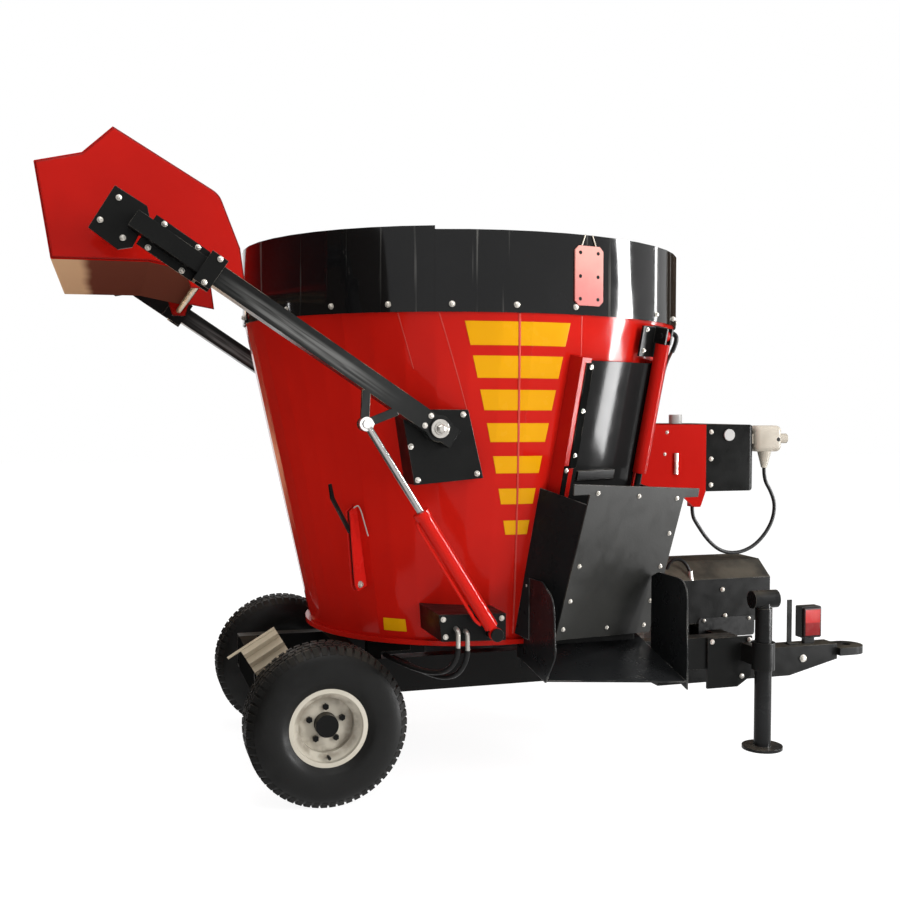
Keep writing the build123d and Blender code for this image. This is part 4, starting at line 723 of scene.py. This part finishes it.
cast = coated("cast iron", (0.05, 0.05, 0.052), (0.03, 0.03, 0.032), roughness=0.55, peel=0.0008,
              dust=0.5)
zinc = coated("zinc plate", (0.46, 0.44, 0.41), (0.32, 0.30, 0.27), roughness=0.34, peel=0.0001,
              metal=0.7)
guard_paint = coated("guard paint", BLACK, BLACK_DULL, roughness=0.40, peel=0.0003,
                     wear=(0.36, 0.34, 0.30), edge=0.004, dust=0.9)
dress(cast, "auger_reducer", "gear_case")
dress(zinc, "drive_shaft", "input_shaft")
dress(guard_paint, "drive_guard")
soften(30, "auger_reducer", "drive_shaft", "input_shaft")
right_bolts("guard_bolts", GUARD_SIDE, GUARD_BOLTS, size=0.75)
slab("guard_flap", *FLAP, FLAP_CORNER, rubber, "machine", "hose")
right_bolts("flap_bolts", FLAP[0][1], FLAP_BOLTS, size=0.55)
tube("guard_hose", [at(*spot) for spot in GUARD_HOSE], GUARD_HOSE_R, rubber, "machine")
tube("guard_nipple", [at(*spot) for spot in GUARD_NIPPLE], NIPPLE_R, zinc, "machine",
     smooth=False)

# Loader: box-section arms on pins, whose bolted heads carry the hopper between its
# red side plates. The arms' edges are rubbed bare and grey streaks along their sides are a painted
# highlight. The hopper's underside carries a painted reflection in tan and brown bands.
ARM_SIDE, ARM_HALF = 0.930, 0.040
PIVOT = Vector((-0.376, 0, 1.519))
ARM_TILT = radians(146.3)
ARM_RUN = Vector((cos(ARM_TILT), 0, sin(ARM_TILT)))
ARM_DOWN = Vector((-ARM_RUN.z, 0, ARM_RUN.x))
HEAD_BOLTS = ((-1.538, 2.340), (-1.602, 2.258), (-1.462, 2.277), (-1.526, 2.198))
PAD_BOLTS, PAD_OFF = ((1.105, 0.052), (1.245, 0.052), (1.105, -0.052), (1.245, -0.052)), -0.030
CLAMP_BOLTS, CLAMP_OFF = ((1.018, 0.051), (1.018, -0.051)), 0.052
PIVOT_BOLTS = ((0.055, 0.022), (0.055, -0.022))
BOX_BOLTS = ((-0.256, 1.573), (-0.198, 1.340), (-0.486, 1.573), (-0.468, 1.448), (-0.440, 1.318))
BOX_FACE = 0.885
PIN_FACE, PIN_WASHER = 0.9803, (0.037, 0.003)
# Grey streaks painted along the middle of each arm's side as a highlight.
SHEEN_GRAIN, SHEEN_DETAIL, SHEEN_PATCH = (3.0, 90.0), 4.0, (0.30, 0.62)
SHEEN_ALONG, SHEEN_DOWN = ((0.16, 0.50), (1.05, 0.70)), ((-0.022, -0.004), (0.034, 0.020))
SHEEN_GREY, SHEEN_DEPTH = (0.15, 0.15, 0.145), 0.8
HOPPER_RED, HOPPER_DULL = (0.44, 0.0085, 0.0050), (0.40, 0.0075, 0.0045)
# Painted reflection on the hopper sheet's underside: tan and brown bands split across the machine.
REFLECTION_EDGE, REFLECTION_FADE = -1.665, 0.05
REFLECTION_NOISE, REFLECTION_DRIFT = (2.5, 1), 0.06
REFLECTED_TAN, REFLECTED_BROWN = (0.60, 0.37, 0.21), (0.125, 0.036, 0.022)
UNDERSIDE = (-0.15, -0.45)


def on_arm(distance, down, side, off):
    """Point on one arm: along it, below its middle, and off its mid-plane outwards."""
    point = PIVOT + ARM_RUN * distance + ARM_DOWN * down
    return at(point.x, side * (ARM_SIDE + off), point.z)


arm_paint = coated("arm paint", (0.012, 0.0125, 0.012), BLACK_DULL, roughness=0.22, peel=0.0002,
                   wear=(0.34, 0.29, 0.21), edge=0.004, shine=0.12)
arm_spot = arm_paint.vector("SUBTRACT", arm_paint.place, axis + PIVOT)
arm_reach, arm_fall = (arm_paint.vector("DOT_PRODUCT", arm_spot, way, "Value")
                       for way in (ARM_RUN, ARM_DOWN))
# Painted highlight: grey streaks along the arm, in a band across its side.
drawn = {0: arm_reach * SHEEN_GRAIN[0], 1: arm_fall * SHEEN_GRAIN[1]}
grain = arm_paint.noise(1.0, SHEEN_DETAIL, arm_paint.node("ShaderNodeCombineXYZ", {}, drawn))
painted_sheen = arm_paint.span(grain, *SHEEN_PATCH) * SHEEN_DEPTH
for measure, ramps in ((arm_fall, SHEEN_DOWN), (arm_reach, SHEEN_ALONG)):
    for ramp in ramps:
        painted_sheen = painted_sheen * arm_paint.span(measure, *ramp)
arm_paint.set("Base Color", arm_paint.mix(painted_sheen, arm_paint.colour(), SHEEN_GREY))
box_paint = coated("box paint", BLACK, BLACK_DULL, roughness=0.34, peel=0.0003, wear=RUBBED)
brass = coated("tie rod plate", (0.56, 0.44, 0.25), (0.42, 0.33, 0.19), roughness=0.30, peel=0.0001,
               metal=0.6)
hopper_red = coated("hopper paint", HOPPER_RED, HOPPER_DULL, roughness=0.13, peel=0.00006,
                    wear=(0.012, 0.010, 0.009), edge=0.014, worn=(0.05, 0.15))
# No specular on the sheet: its underside carries a painted reflection in tan and brown instead.
sheet_red = coated("sheet paint", HOPPER_RED, HOPPER_DULL, roughness=0.45, peel=0.00006, shine=0.0)
sheet_across = sheet_red.coordinate(sheet_red.place, "X")
sheet_across = sheet_across + sheet_red.noise(*REFLECTION_NOISE) * REFLECTION_DRIFT
reflection_start = axis.x + REFLECTION_EDGE
reflection_split = sheet_red.span(sheet_across, reflection_start, reflection_start + REFLECTION_FADE)
painted_reflection = sheet_red.mix(reflection_split, REFLECTED_TAN, REFLECTED_BROWN)
below = sheet_red.span(sheet_red.coordinate(sheet_red.normal(), "Z"), *UNDERSIDE)
sheet_red.set("Base Color", sheet_red.mix(below, sheet_red.colour(), painted_reflection))
dress(arm_paint, "arm_right", "arm_left")
dress(box_paint, "arm_heads", "pivot_boxes", "cylinder_bases")
dress(hopper_red, "hopper_sides")
dress(sheet_red, "hopper_sheet")
dress(brass, "tie_rod")
soften(30, "tie_rod")
moving, fixed, washers, nuts = [], [], [], []
for side in (-1, 1):
    out = (0, side, 0)
    moving += [(at(x, side * (ARM_SIDE - ARM_HALF), z), out) for x, z in HEAD_BOLTS]
    moving += [(on_arm(s, d, side, PAD_OFF), out) for s, d in PAD_BOLTS]
    moving += [(on_arm(s, d, side, CLAMP_OFF), out) for s, d in CLAMP_BOLTS]
    moving += [(on_arm(s, d, side, ARM_HALF), out) for s, d in PIVOT_BOLTS]
    fixed += [(at(x, side * BOX_FACE, z), out) for x, z in BOX_BOLTS]
    washers.append(facing(at(PIVOT.x, side * PIN_FACE, PIVOT.z), out))
    nuts.append(facing(at(PIVOT.x, side * (PIN_FACE + PIN_WASHER[1]), PIVOT.z), out))
bolts("loader_bolts", moving, "loader", size=0.68)
bolts("box_bolts", fixed, "machine", size=0.72)
copies("pivot_washers", disc_mesh(*PIN_WASHER), washers, zinc, "machine")
copies("pivot_nuts", bolt_mesh(), nuts, zinc, "machine", size=1.5)

# Lift cylinders: red barrels with a feed pipe, plated rods, and elbows with hoses
# that lead from the base bracket to the chassis.
CYLINDER_SIDE = 0.990
BASE = Vector((-0.152, 0, 0.718))
LUG = Vector((-0.666, 0, 1.537))
FEED_PIPE = ((0.068, 0.031), (0.09, 0.041), (0.12, 0.041), (0.50, 0.041), (0.530, 0.041),
             (0.550, 0.031))
PIPE_R = 0.007
BASE_FACE = 0.935
BASE_BOLTS = ((-0.350, 0.777), (-0.340, 0.708), (-0.110, 0.770))
ELBOWS = ((-0.300, 0.740), (-0.262, 0.728))
ELBOW_LINE = ((0, 0, 0), (0, 0.034, 0), (0, 0.038, -0.030), (0, 0.036, -0.075))
FEED_HOSE = ((0, 0.036, -0.070, 0), (-0.004, 0.034, -0.130, 0), (-0.05, -0.05, -0.190, 0.012),
             (-0.13, -0.25, -0.195, 0), (-0.16, -0.52, -0.200, 0))
ELBOW_R, FEED_HOSE_R = 0.0095, 0.011

chrome = coated("rod chrome", (0.36, 0.35, 0.34), (0.27, 0.26, 0.25), roughness=0.16, peel=0.00003,
                metal=0.85)
dress(red, "lift_barrel_right", "lift_barrel_left")
dress(chrome, "lift_rod_right", "lift_rod_left")
soften(30, "lift_barrel_right", "lift_barrel_left", "lift_rod_right", "lift_rod_left")
rise = (LUG - BASE).normalized()
beside = Vector((-rise.z, 0, rise.x))
fixed = []
for side, word in ((-1, "right"), (1, "left")):
    foot = at(BASE.x, side * CYLINDER_SIDE, BASE.z)
    route = [foot + rise * s + beside * d for s, d in FEED_PIPE]
    tube("feed_pipe_" + word, route, PIPE_R, red, "barrel_" + word)
    fixed += [(at(x, side * BASE_FACE, z), (0, side, 0)) for x, z in BASE_BOLTS]
    for number, (x, z) in enumerate(ELBOWS):
        mouth = at(x, side * BASE_FACE, z)
        bend = [mouth + Vector((dx, side * dy, dz)) for dx, dy, dz in ELBOW_LINE]
        tube("elbow_%s_%d" % (word, number), bend, ELBOW_R, zinc, "machine")
        drop = [mouth + Vector((dx, side * dy, dz - sag * number)) for dx, dy, dz, sag in FEED_HOSE]
        tube("feed_hose_%s_%d" % (word, number), drop, FEED_HOSE_R, rubber, "machine")
bolts("base_bolts", fixed, "machine", size=0.68)

# Door in its rails with a bolted edge strip and keeper bar, its cylinder on a black
# bracket, and the discharge chute with a bolted cover over a trough of bent plate.
DOOR_AZIMUTH = -63.75
DOOR_ROLL, DOOR_PEEL, DOOR_EDGE = 1.05, 0.00008, 0.003
EDGE_STRIP = (-0.234, -0.194, 0.745, 1.174, 0.030, 0.034)
KEEPER_BAR = (-0.262, -0.238, 0.430, 0.752, 0.030, 0.035)
DOOR_STEP = (-0.170, 0.060, 0.690, 0.728, 0.020, 0.032)
BAR_BEVEL = 0.001
STRIP_BOLTS = ((-0.206, 1.160), (-0.212, 0.981), (-0.214, 0.797))
KEEPER_BOLTS = ((-0.252, 0.735), (-0.252, 0.571))
BRACKET_BOLTS, BRACKET_FACE = ((0.113, 1.327), (0.111, 1.239)), 0.032
DOOR_PIPE = ((0.218, 0.760, 0.066), (0.230, 0.775, 0.066), (0.230, 0.800, 0.066),
             (0.230, 1.100, 0.066), (0.234, 1.200, 0.066), (0.246, 1.250, 0.078))
DOOR_HOSE = ((0.246, 1.245, 0.078), (0.256, 1.290, 0.086), (0.252, 1.325, 0.076),
             (0.224, 1.330, 0.036))
DOOR_HOSE_R = 0.010
COVER_W, COVER_LEAN, CHUTE_T = 0.160, 0.07, 0.006
COVER_BOLTS = (
    (0.288, 0.640), (0.296, 0.480), (0.291, 0.328), (0.281, 0.169), (0.278, 0.055), (-0.251, 0.690),
    (-0.262, 0.383), (-0.267, 0.233), (-0.270, 0.110), (0.018, 0.664), (0.016, 0.078),
)
TROUGH_LEFT = 0.061
WING_BOLTS = ((-0.770, 0.868), (-0.690, 0.668))
SKIRT, SKIRT_CORNER = ((0.075, -0.655, 0.500), (0.600, -0.651, 0.632)), 0.006

slope = atan2((TUB_HIGH_R - TUB_LOW_R) * FACET_FLAT, TUB_HIGH - TUB_LOW)
wall_foot = TUB_LOW_R * FACET_FLAT
door_turn = radians(DOOR_AZIMUTH)
door_foot = at(wall_foot * cos(door_turn), wall_foot * sin(door_turn), TUB_LOW)
door_out = Vector((cos(door_turn) * cos(slope), sin(door_turn) * cos(slope), -sin(slope)))
door_along = Vector((-sin(door_turn), cos(door_turn), 0))
door_up = door_out.cross(door_along)


def on_door(u, v, w):
    """Point in the door's plane: along the wall, up the slope and out of it."""
    return door_foot + door_along * u + door_up * v + door_out * w


def door_bar(name, u0, u1, v0, v1, w0, w1, finish, body, slot):
    """Flat bar on the door or its rails."""
    shape = bmesh.new()
    bmesh.ops.create_cube(shape, size=1)
    for vert in shape.verts:
        x, y, z = (part + 0.5 for part in vert.co)
        vert.co = on_door(u0 + (u1 - u0) * x, v0 + (v1 - v0) * y, w0 + (w1 - w0) * z)
    bmesh.ops.bevel(shape, geom=shape.edges[:], offset=BAR_BEVEL, segments=2, profile=0.5,
                    affect="EDGES")
    return place(name, from_bmesh(name, shape), finish, body)


cover_paint = coated("cover paint", (0.032, 0.032, 0.030), (0.024, 0.024, 0.0225), roughness=0.40,
                     peel=0.0003, wear=RUBBED, dust=0.3)
trough_paint = coated("trough paint", (0.014, 0.0145, 0.015), (0.009, 0.0095, 0.010),
                      roughness=0.30, peel=0.0003, wear=(0.26, 0.25, 0.23), edge=0.004)
rail_red = coated("rail paint", (0.40, 0.0085, 0.0055), (0.35, 0.0075, 0.0050), roughness=0.16,
                  peel=0.00008, edge=0.002, shine=0.025)
brown = coated("pipe lacquer", (0.070, 0.022, 0.014), (0.040, 0.016, 0.012), roughness=0.30,
               peel=0.0001)
door_paint = coated("door paint", (0.016, 0.016, 0.016), (0.012, 0.012, 0.012), roughness=0.10,
                    peel=DOOR_PEEL, shine=0.040)
door_spot = door_paint.vector("SUBTRACT", door_paint.place, door_foot)
door_across = door_paint.vector("DOT_PRODUCT", door_spot, door_along, "Value")
rolled = door_across * door_across * (-0.5 / DOOR_ROLL)
rolled = rolled + door_paint.noise(*PEEL_NOISE) * DOOR_PEEL
door_paint.bump(rolled, 1.0, door_paint.rounded(DOOR_EDGE))
dress(rail_red, "door_rails", "door_barrel")
dress(door_paint, "door")
dress(box_paint, "door_bracket")
dress(trough_paint, "chute_box", "chute_tray")
dress(cover_paint, "chute_cover")
soften(30, "door_barrel")
door_bar("edge_strip", *EDGE_STRIP, under_paint, "machine", "black_paint")
door_bar("keeper_bar", *KEEPER_BAR, under_paint, "machine", "black_paint")
door_bar("door_step", *DOOR_STEP, black, "door", "black_paint")
spots = [(on_door(u, v, face), door_out)
         for pairs, face in ((STRIP_BOLTS, EDGE_STRIP[-1]), (KEEPER_BOLTS, KEEPER_BAR[-1]),
                             (BRACKET_BOLTS, BRACKET_FACE)) for u, v in pairs]
bolts("door_bolts", spots, "machine", size=0.58)
tube("door_pipe", [on_door(*spot) for spot in DOOR_PIPE], PIPE_R, brown, "machine")
tube("door_hose", [on_door(*spot) for spot in DOOR_HOSE], DOOR_HOSE_R, rubber, "machine")
cover_out = door_out - door_up * COVER_LEAN
spots = [(on_door(u, v, COVER_W + COVER_LEAN * v + CHUTE_T), cover_out) for u, v in COVER_BOLTS]
bolts("cover_bolts", spots, "machine", size=0.62)
slab("chute_skirt", *SKIRT, SKIRT_CORNER, black, "machine", "black_paint")
spots = [(at(TROUGH_LEFT, y, z), (-1, 0, 0)) for y, z in WING_BOLTS]
bolts("wing_bolts", spots, "machine", size=0.65)

# Counter knives: black levers in red channels on the tub, each with a pin and a
# sprung wire clip.
KNIFE_AZIMUTH = 138.75
CLIP_LINE = ((0.570, 0.020, 0.030), (0.585, 0.034, 0.020), (0.560, 0.050, 0.022),
             (0.500, 0.058, 0.020), (0.450, 0.066, 0.018))
CLIP_R = 0.003
CHANNEL_BOLT = (0.245, 0.012, 0.045)
knife_red = coated("channel paint", (0.56, 0.014, 0.010), (0.50, 0.011, 0.008), roughness=0.24,
                   peel=0.0001, edge=0.002)
dress(black, "counter_knife_right", "counter_knife_left")
dress(knife_red, "knife_brackets")
for side, word in ((-1, "right"), (1, "left")):
    turned = radians(side * KNIFE_AZIMUTH)
    out = Vector((cos(turned) * cos(slope), sin(turned) * cos(slope), -sin(slope)))
    along = Vector((-sin(turned), cos(turned), 0)) * -side
    up = Vector((cos(turned) * sin(slope), sin(turned) * sin(slope), cos(slope)))
    foot = at(wall_foot * cos(turned), wall_foot * sin(turned), TUB_LOW)
    *route, bolt_spot = (foot + up * v + along * u + out * w
                         for v, u, w in (*CLIP_LINE, CHANNEL_BOLT))
    tube("spring_clip_" + word, route, CLIP_R, zinc, "machine")
    bolts("channel_bolt_" + word, [(bolt_spot, along)], "machine", size=0.9)

# Front tank: welded black steel tank with a white cap and glass, bolted to its red
# bracket, and the cream indicator casting beside it.
TANK_SIDE = -0.300
TANK_BOLTS = ((1.172, 1.490), (1.172, 1.360), (1.172, 1.235))
BRACKET_SPOTS = ((0.935, 1.488), (0.925, 1.385))
PIN_X, PIN_ENDS, PIN_R = 0.980, (1.290, 1.390), 0.010
EYES = (((1.5699, -0.250, 1.470), (1, 0, 0)), ((1.545, -0.2979, 1.452), (0, -1, 0)))
EYE_DISC = (0.010, 0.001)
cream = coated("cream casting", (0.50, 0.46, 0.39), (0.27, 0.235, 0.19), roughness=0.36,
               peel=0.0004, dust=0.3)
white = coated("white plastic", (0.50, 0.50, 0.48), (0.40, 0.40, 0.39), roughness=0.25, peel=0.0001)
tank_paint = coated("tank paint", (0.0090, 0.0094, 0.0090), BLACK_DULL, roughness=0.30, peel=0.0003,
                    wear=RUBBED, dust=0.4, shine=0.03)
dress(rail_red, "tank_bracket")
dress(tank_paint, "oil_tank")
dress(cream, "indicator")
dress(white, "tank_fittings")
soften(30, "oil_tank", "indicator", "tank_fittings")
right_bolts("tank_bolts", TANK_SIDE, TANK_BOLTS, size=0.7)
right_bolts("bracket_bolts", TANK_SIDE, BRACKET_SPOTS, size=0.5)
pin_line = [at(PIN_X, TANK_SIDE - PIN_R, z) for z in PIN_ENDS]
tube("bracket_pin", pin_line, PIN_R, bolt_zinc, "machine", smooth=False)
eye_spots = [facing(at(*point), normal) for point, normal in EYES]
copies("indicator_eyes", disc_mesh(*EYE_DISC), eye_spots, black, "machine")

# Drawbar with its eye, a rest bar, the rear lamp and the parking jack with its bolted
# drop plate: welded steel in black paint, with a fluted red lens in the lamp.
LENS_RIM, LENS_SPLIT = 0.008, (0.478, 0.482)
LENS_EDGE, LENS_DEEP, LENS_PALE = (0.020, 0.006, 0.006), (0.20, 0.004, 0.004), (0.42, 0.006, 0.005)
FLUTES, FLUTE_HEIGHT = 40.0, 0.0006
DROP_SIDE = -0.395
DROP_BOLTS = ((1.336, 0.495), (1.304, 0.430), (1.296, 0.322), (1.135, 0.495))
DRAWBAR_SIDE, DRAWBAR_PIN = -0.060, (1.861, 0.300)
jack_paint = coated("jack paint", (0.016, 0.0165, 0.017), BLACK_DULL, roughness=0.26, peel=0.0003,
                    wear=RUBBED, edge=0.004, dust=0.4)
lens_low, lens_high = (Vector(corner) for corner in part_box("lamp_lens"))
lens = Finish("lamp lens", Roughness=0.14, Specular_IOR_Level=0.12)
lens_across, lens_height = (lens.coordinate(lens.place, letter) for letter in "XZ")
inside = (lens_height > lens_low.z + LENS_RIM) * (lens_across > lens_low.x + LENS_RIM)
inside = inside * (lens_height < lens_high.z - LENS_RIM) * (lens_across < lens_high.x - LENS_RIM)
flutes = {"Vector": lens.place, "Scale": FLUTES}
fluting = lens.node("ShaderNodeTexWave", {"bands_direction": "X"}, flutes)
glass = lens.mix(lens.span(lens_height, *LENS_SPLIT), LENS_DEEP, LENS_PALE)
lens.set("Base Color", lens.mix(inside, LENS_EDGE, glass))
lens.bump(fluting, FLUTE_HEIGHT)
dress(black, "drawbar", "drawbar_eye", "rest_bar", "jack_bracket", "lamp_housing")
dress(jack_paint, "jack_leg", "jack_head")
dress(lens, "lamp_lens")
soften(30, "jack_leg", "jack_head", "drawbar_eye")
right_bolts("drop_bolts", DROP_SIDE, DROP_BOLTS, size=0.75)
right_bolts("drawbar_pin", DRAWBAR_SIDE, [DRAWBAR_PIN], size=1.2)

# Wheel chock: ribbed steel sheet folded to a wedge and painted beige, hung by its
# pin on the right-hand beam.
beige = coated("chock paint", (0.50, 0.43, 0.32), (0.34, 0.28, 0.20), roughness=0.45, peel=0.0003,
               wear=(0.20, 0.16, 0.12), dust=0.3)
dress(beige, "wheel_chock")

# Studio: a pale floor, white surroundings, and tall soft lamps whose reflections run
# down the paint as they do in the photograph. Two dark flags show in reflections only.
FLOOR_REACH = 30
FLOOR_GREY = (0.82, 0.82, 0.82)
FLOOR_GLOW, FLOOR_SHARE = 1.30, 0.7
SKY_LIGHT = 0.38
FLAG_BROWN = (0.050, 0.034, 0.024)
FLAG_FOOT = 0.02
FLAGS = {
    "left flag": (2.7, ((-1.70, -2.6), (-1.70, 2.4), (-1.10, 3.6)),
                  ((-2.85, -2.6), (-2.85, 3.0), (-1.90, 3.9))),
    "right flag": (4.5, ((2.10, 2.75), (3.90, 1.15)), ((2.10, 2.75), (3.90, 1.15))),
}
SEEN_RAYS = ("Is Camera Ray", "Is Glossy Ray", "Is Transmission Ray")


def backing(name, corners, faces, finish):
    """A bare sheet of the studio."""
    mesh = bpy.data.meshes.new(name)
    mesh.from_pydata(corners, [], faces)
    mesh.materials.append(finish.material)
    sheet = bpy.data.objects.new(name, mesh)
    bpy.context.collection.objects.link(sheet)
    return sheet


ground = Finish("floor", Base_Color=FLOOR_GREY, Roughness=0.9)
seen, mirrored, through = (ground.node("ShaderNodeLightPath", out=ray) for ray in SEEN_RAYS)
glow = ground.node("ShaderNodeEmission", {}, {"Color": (1, 1, 1), "Strength": FLOOR_GLOW})
share = (seen + mirrored + through > 0.5) * FLOOR_SHARE
surfaces = {0: share, 1: Wire(ground, ground.shader.outputs[0]), 2: glow}
whole = ground.node("ShaderNodeMixShader", {}, surfaces)
ground.put(ground.tree.nodes["Material Output"].inputs["Surface"], whole)
square = ((-1, -1), (1, -1), (1, 1), (-1, 1))
floor = backing("floor", [(x * FLOOR_REACH, y * FLOOR_REACH, 0) for x, y in square], [(0, 1, 2, 3)],
                ground)

cloth = Finish("flag cloth", Base_Color=FLAG_BROWN, Roughness=0.9, Specular_IOR_Level=0.0)
for name, (top, foot, head) in FLAGS.items():
    corners = [at(x, y, FLAG_FOOT) for x, y in foot] + [at(x, y, top) for x, y in head]
    last = len(foot)
    faces = [(k, k + 1, k + 1 + last, k + last) for k in range(last - 1)]
    flag = backing(name, corners, faces, cloth)
    flag.visible_camera = flag.visible_diffuse = False
    flag.visible_transmission = flag.visible_shadow = False

world = bpy.data.worlds.new("studio")
bpy.context.scene.world = world
world.use_nodes = True
sky, sky_links = world.node_tree.nodes, world.node_tree.links
path = sky.new("ShaderNodeLightPath")
strength = None
for ray in SEEN_RAYS:
    step = sky.new("ShaderNodeMapRange")
    step.inputs["To Min"].default_value = SKY_LIGHT
    step.inputs["To Max"].default_value = 1.0
    sky_links.new(path.outputs[ray], step.inputs["Value"])
    if strength:
        sky_links.new(strength, step.inputs["To Min"])
    strength = step.outputs["Result"]
sky_links.new(strength, sky["Background"].inputs["Strength"])
sky["Background"].inputs["Color"].default_value = (1, 1, 1, 1)


def lamp(name, stand, aim, size, power, mirrored=True, lights=True, colour=(1, 1, 1)):
    """A soft rectangular lamp that faces its aim, and is mirrored or lights the part or both."""
    light = bpy.data.lights.new(name, "AREA")
    light.shape = "RECTANGLE"
    light.size, light.size_y = size
    light.energy = power
    light.color = colour
    holder = bpy.data.objects.new(name, light)
    bpy.context.collection.objects.link(holder)
    holder.visible_glossy = mirrored
    holder.visible_diffuse = lights
    look = (at(*aim) - at(*stand)).to_track_quat("-Z", "Y").to_matrix().to_4x4()
    holder.matrix_world = Matrix.Translation(at(*stand)) @ look


lamp("sky", (0, -1.5, 7), aim=(0, 0, 0.5), size=(6, 6), power=420)
lamp("key", (3.5, -5.5, 3.2), aim=(0.4, 0, 1.2), size=(1.6, 4.0), power=290, mirrored=False)
lamp("side", (-5.5, -3.0, 2.6), aim=(0, 0, 1.2), size=(2.5, 4.0), power=12, mirrored=False)
lamp("right strip", (4.61, -2.10, 1.7), aim=(0.38, -0.9, 1.7), size=(0.85, 3.4), power=900,
     lights=False)
lamp("far strip", (4.7, 0.25, 1.7), aim=(0.5, -0.8, 1.7), size=(0.14, 3.4), power=45)
lamp("panel", (0.25, -6.4, 1.6), aim=(-1.0, -0.9, 1.9), size=(1.1, 0.9), power=14)
lamp("left strip", (-2.6, 0.2, 2.3), aim=(-0.84, -0.55, 2.1), size=(0.05, 1.2), power=3)
lamp("rear strip", (-1.55, 3.2, 1.2), aim=(-0.9, 0, 1.3), size=(0.22, 2.4), power=3,
     colour=(1, 0.62, 0.34))
bpy.context.scene.view_settings.view_transform = "Standard"
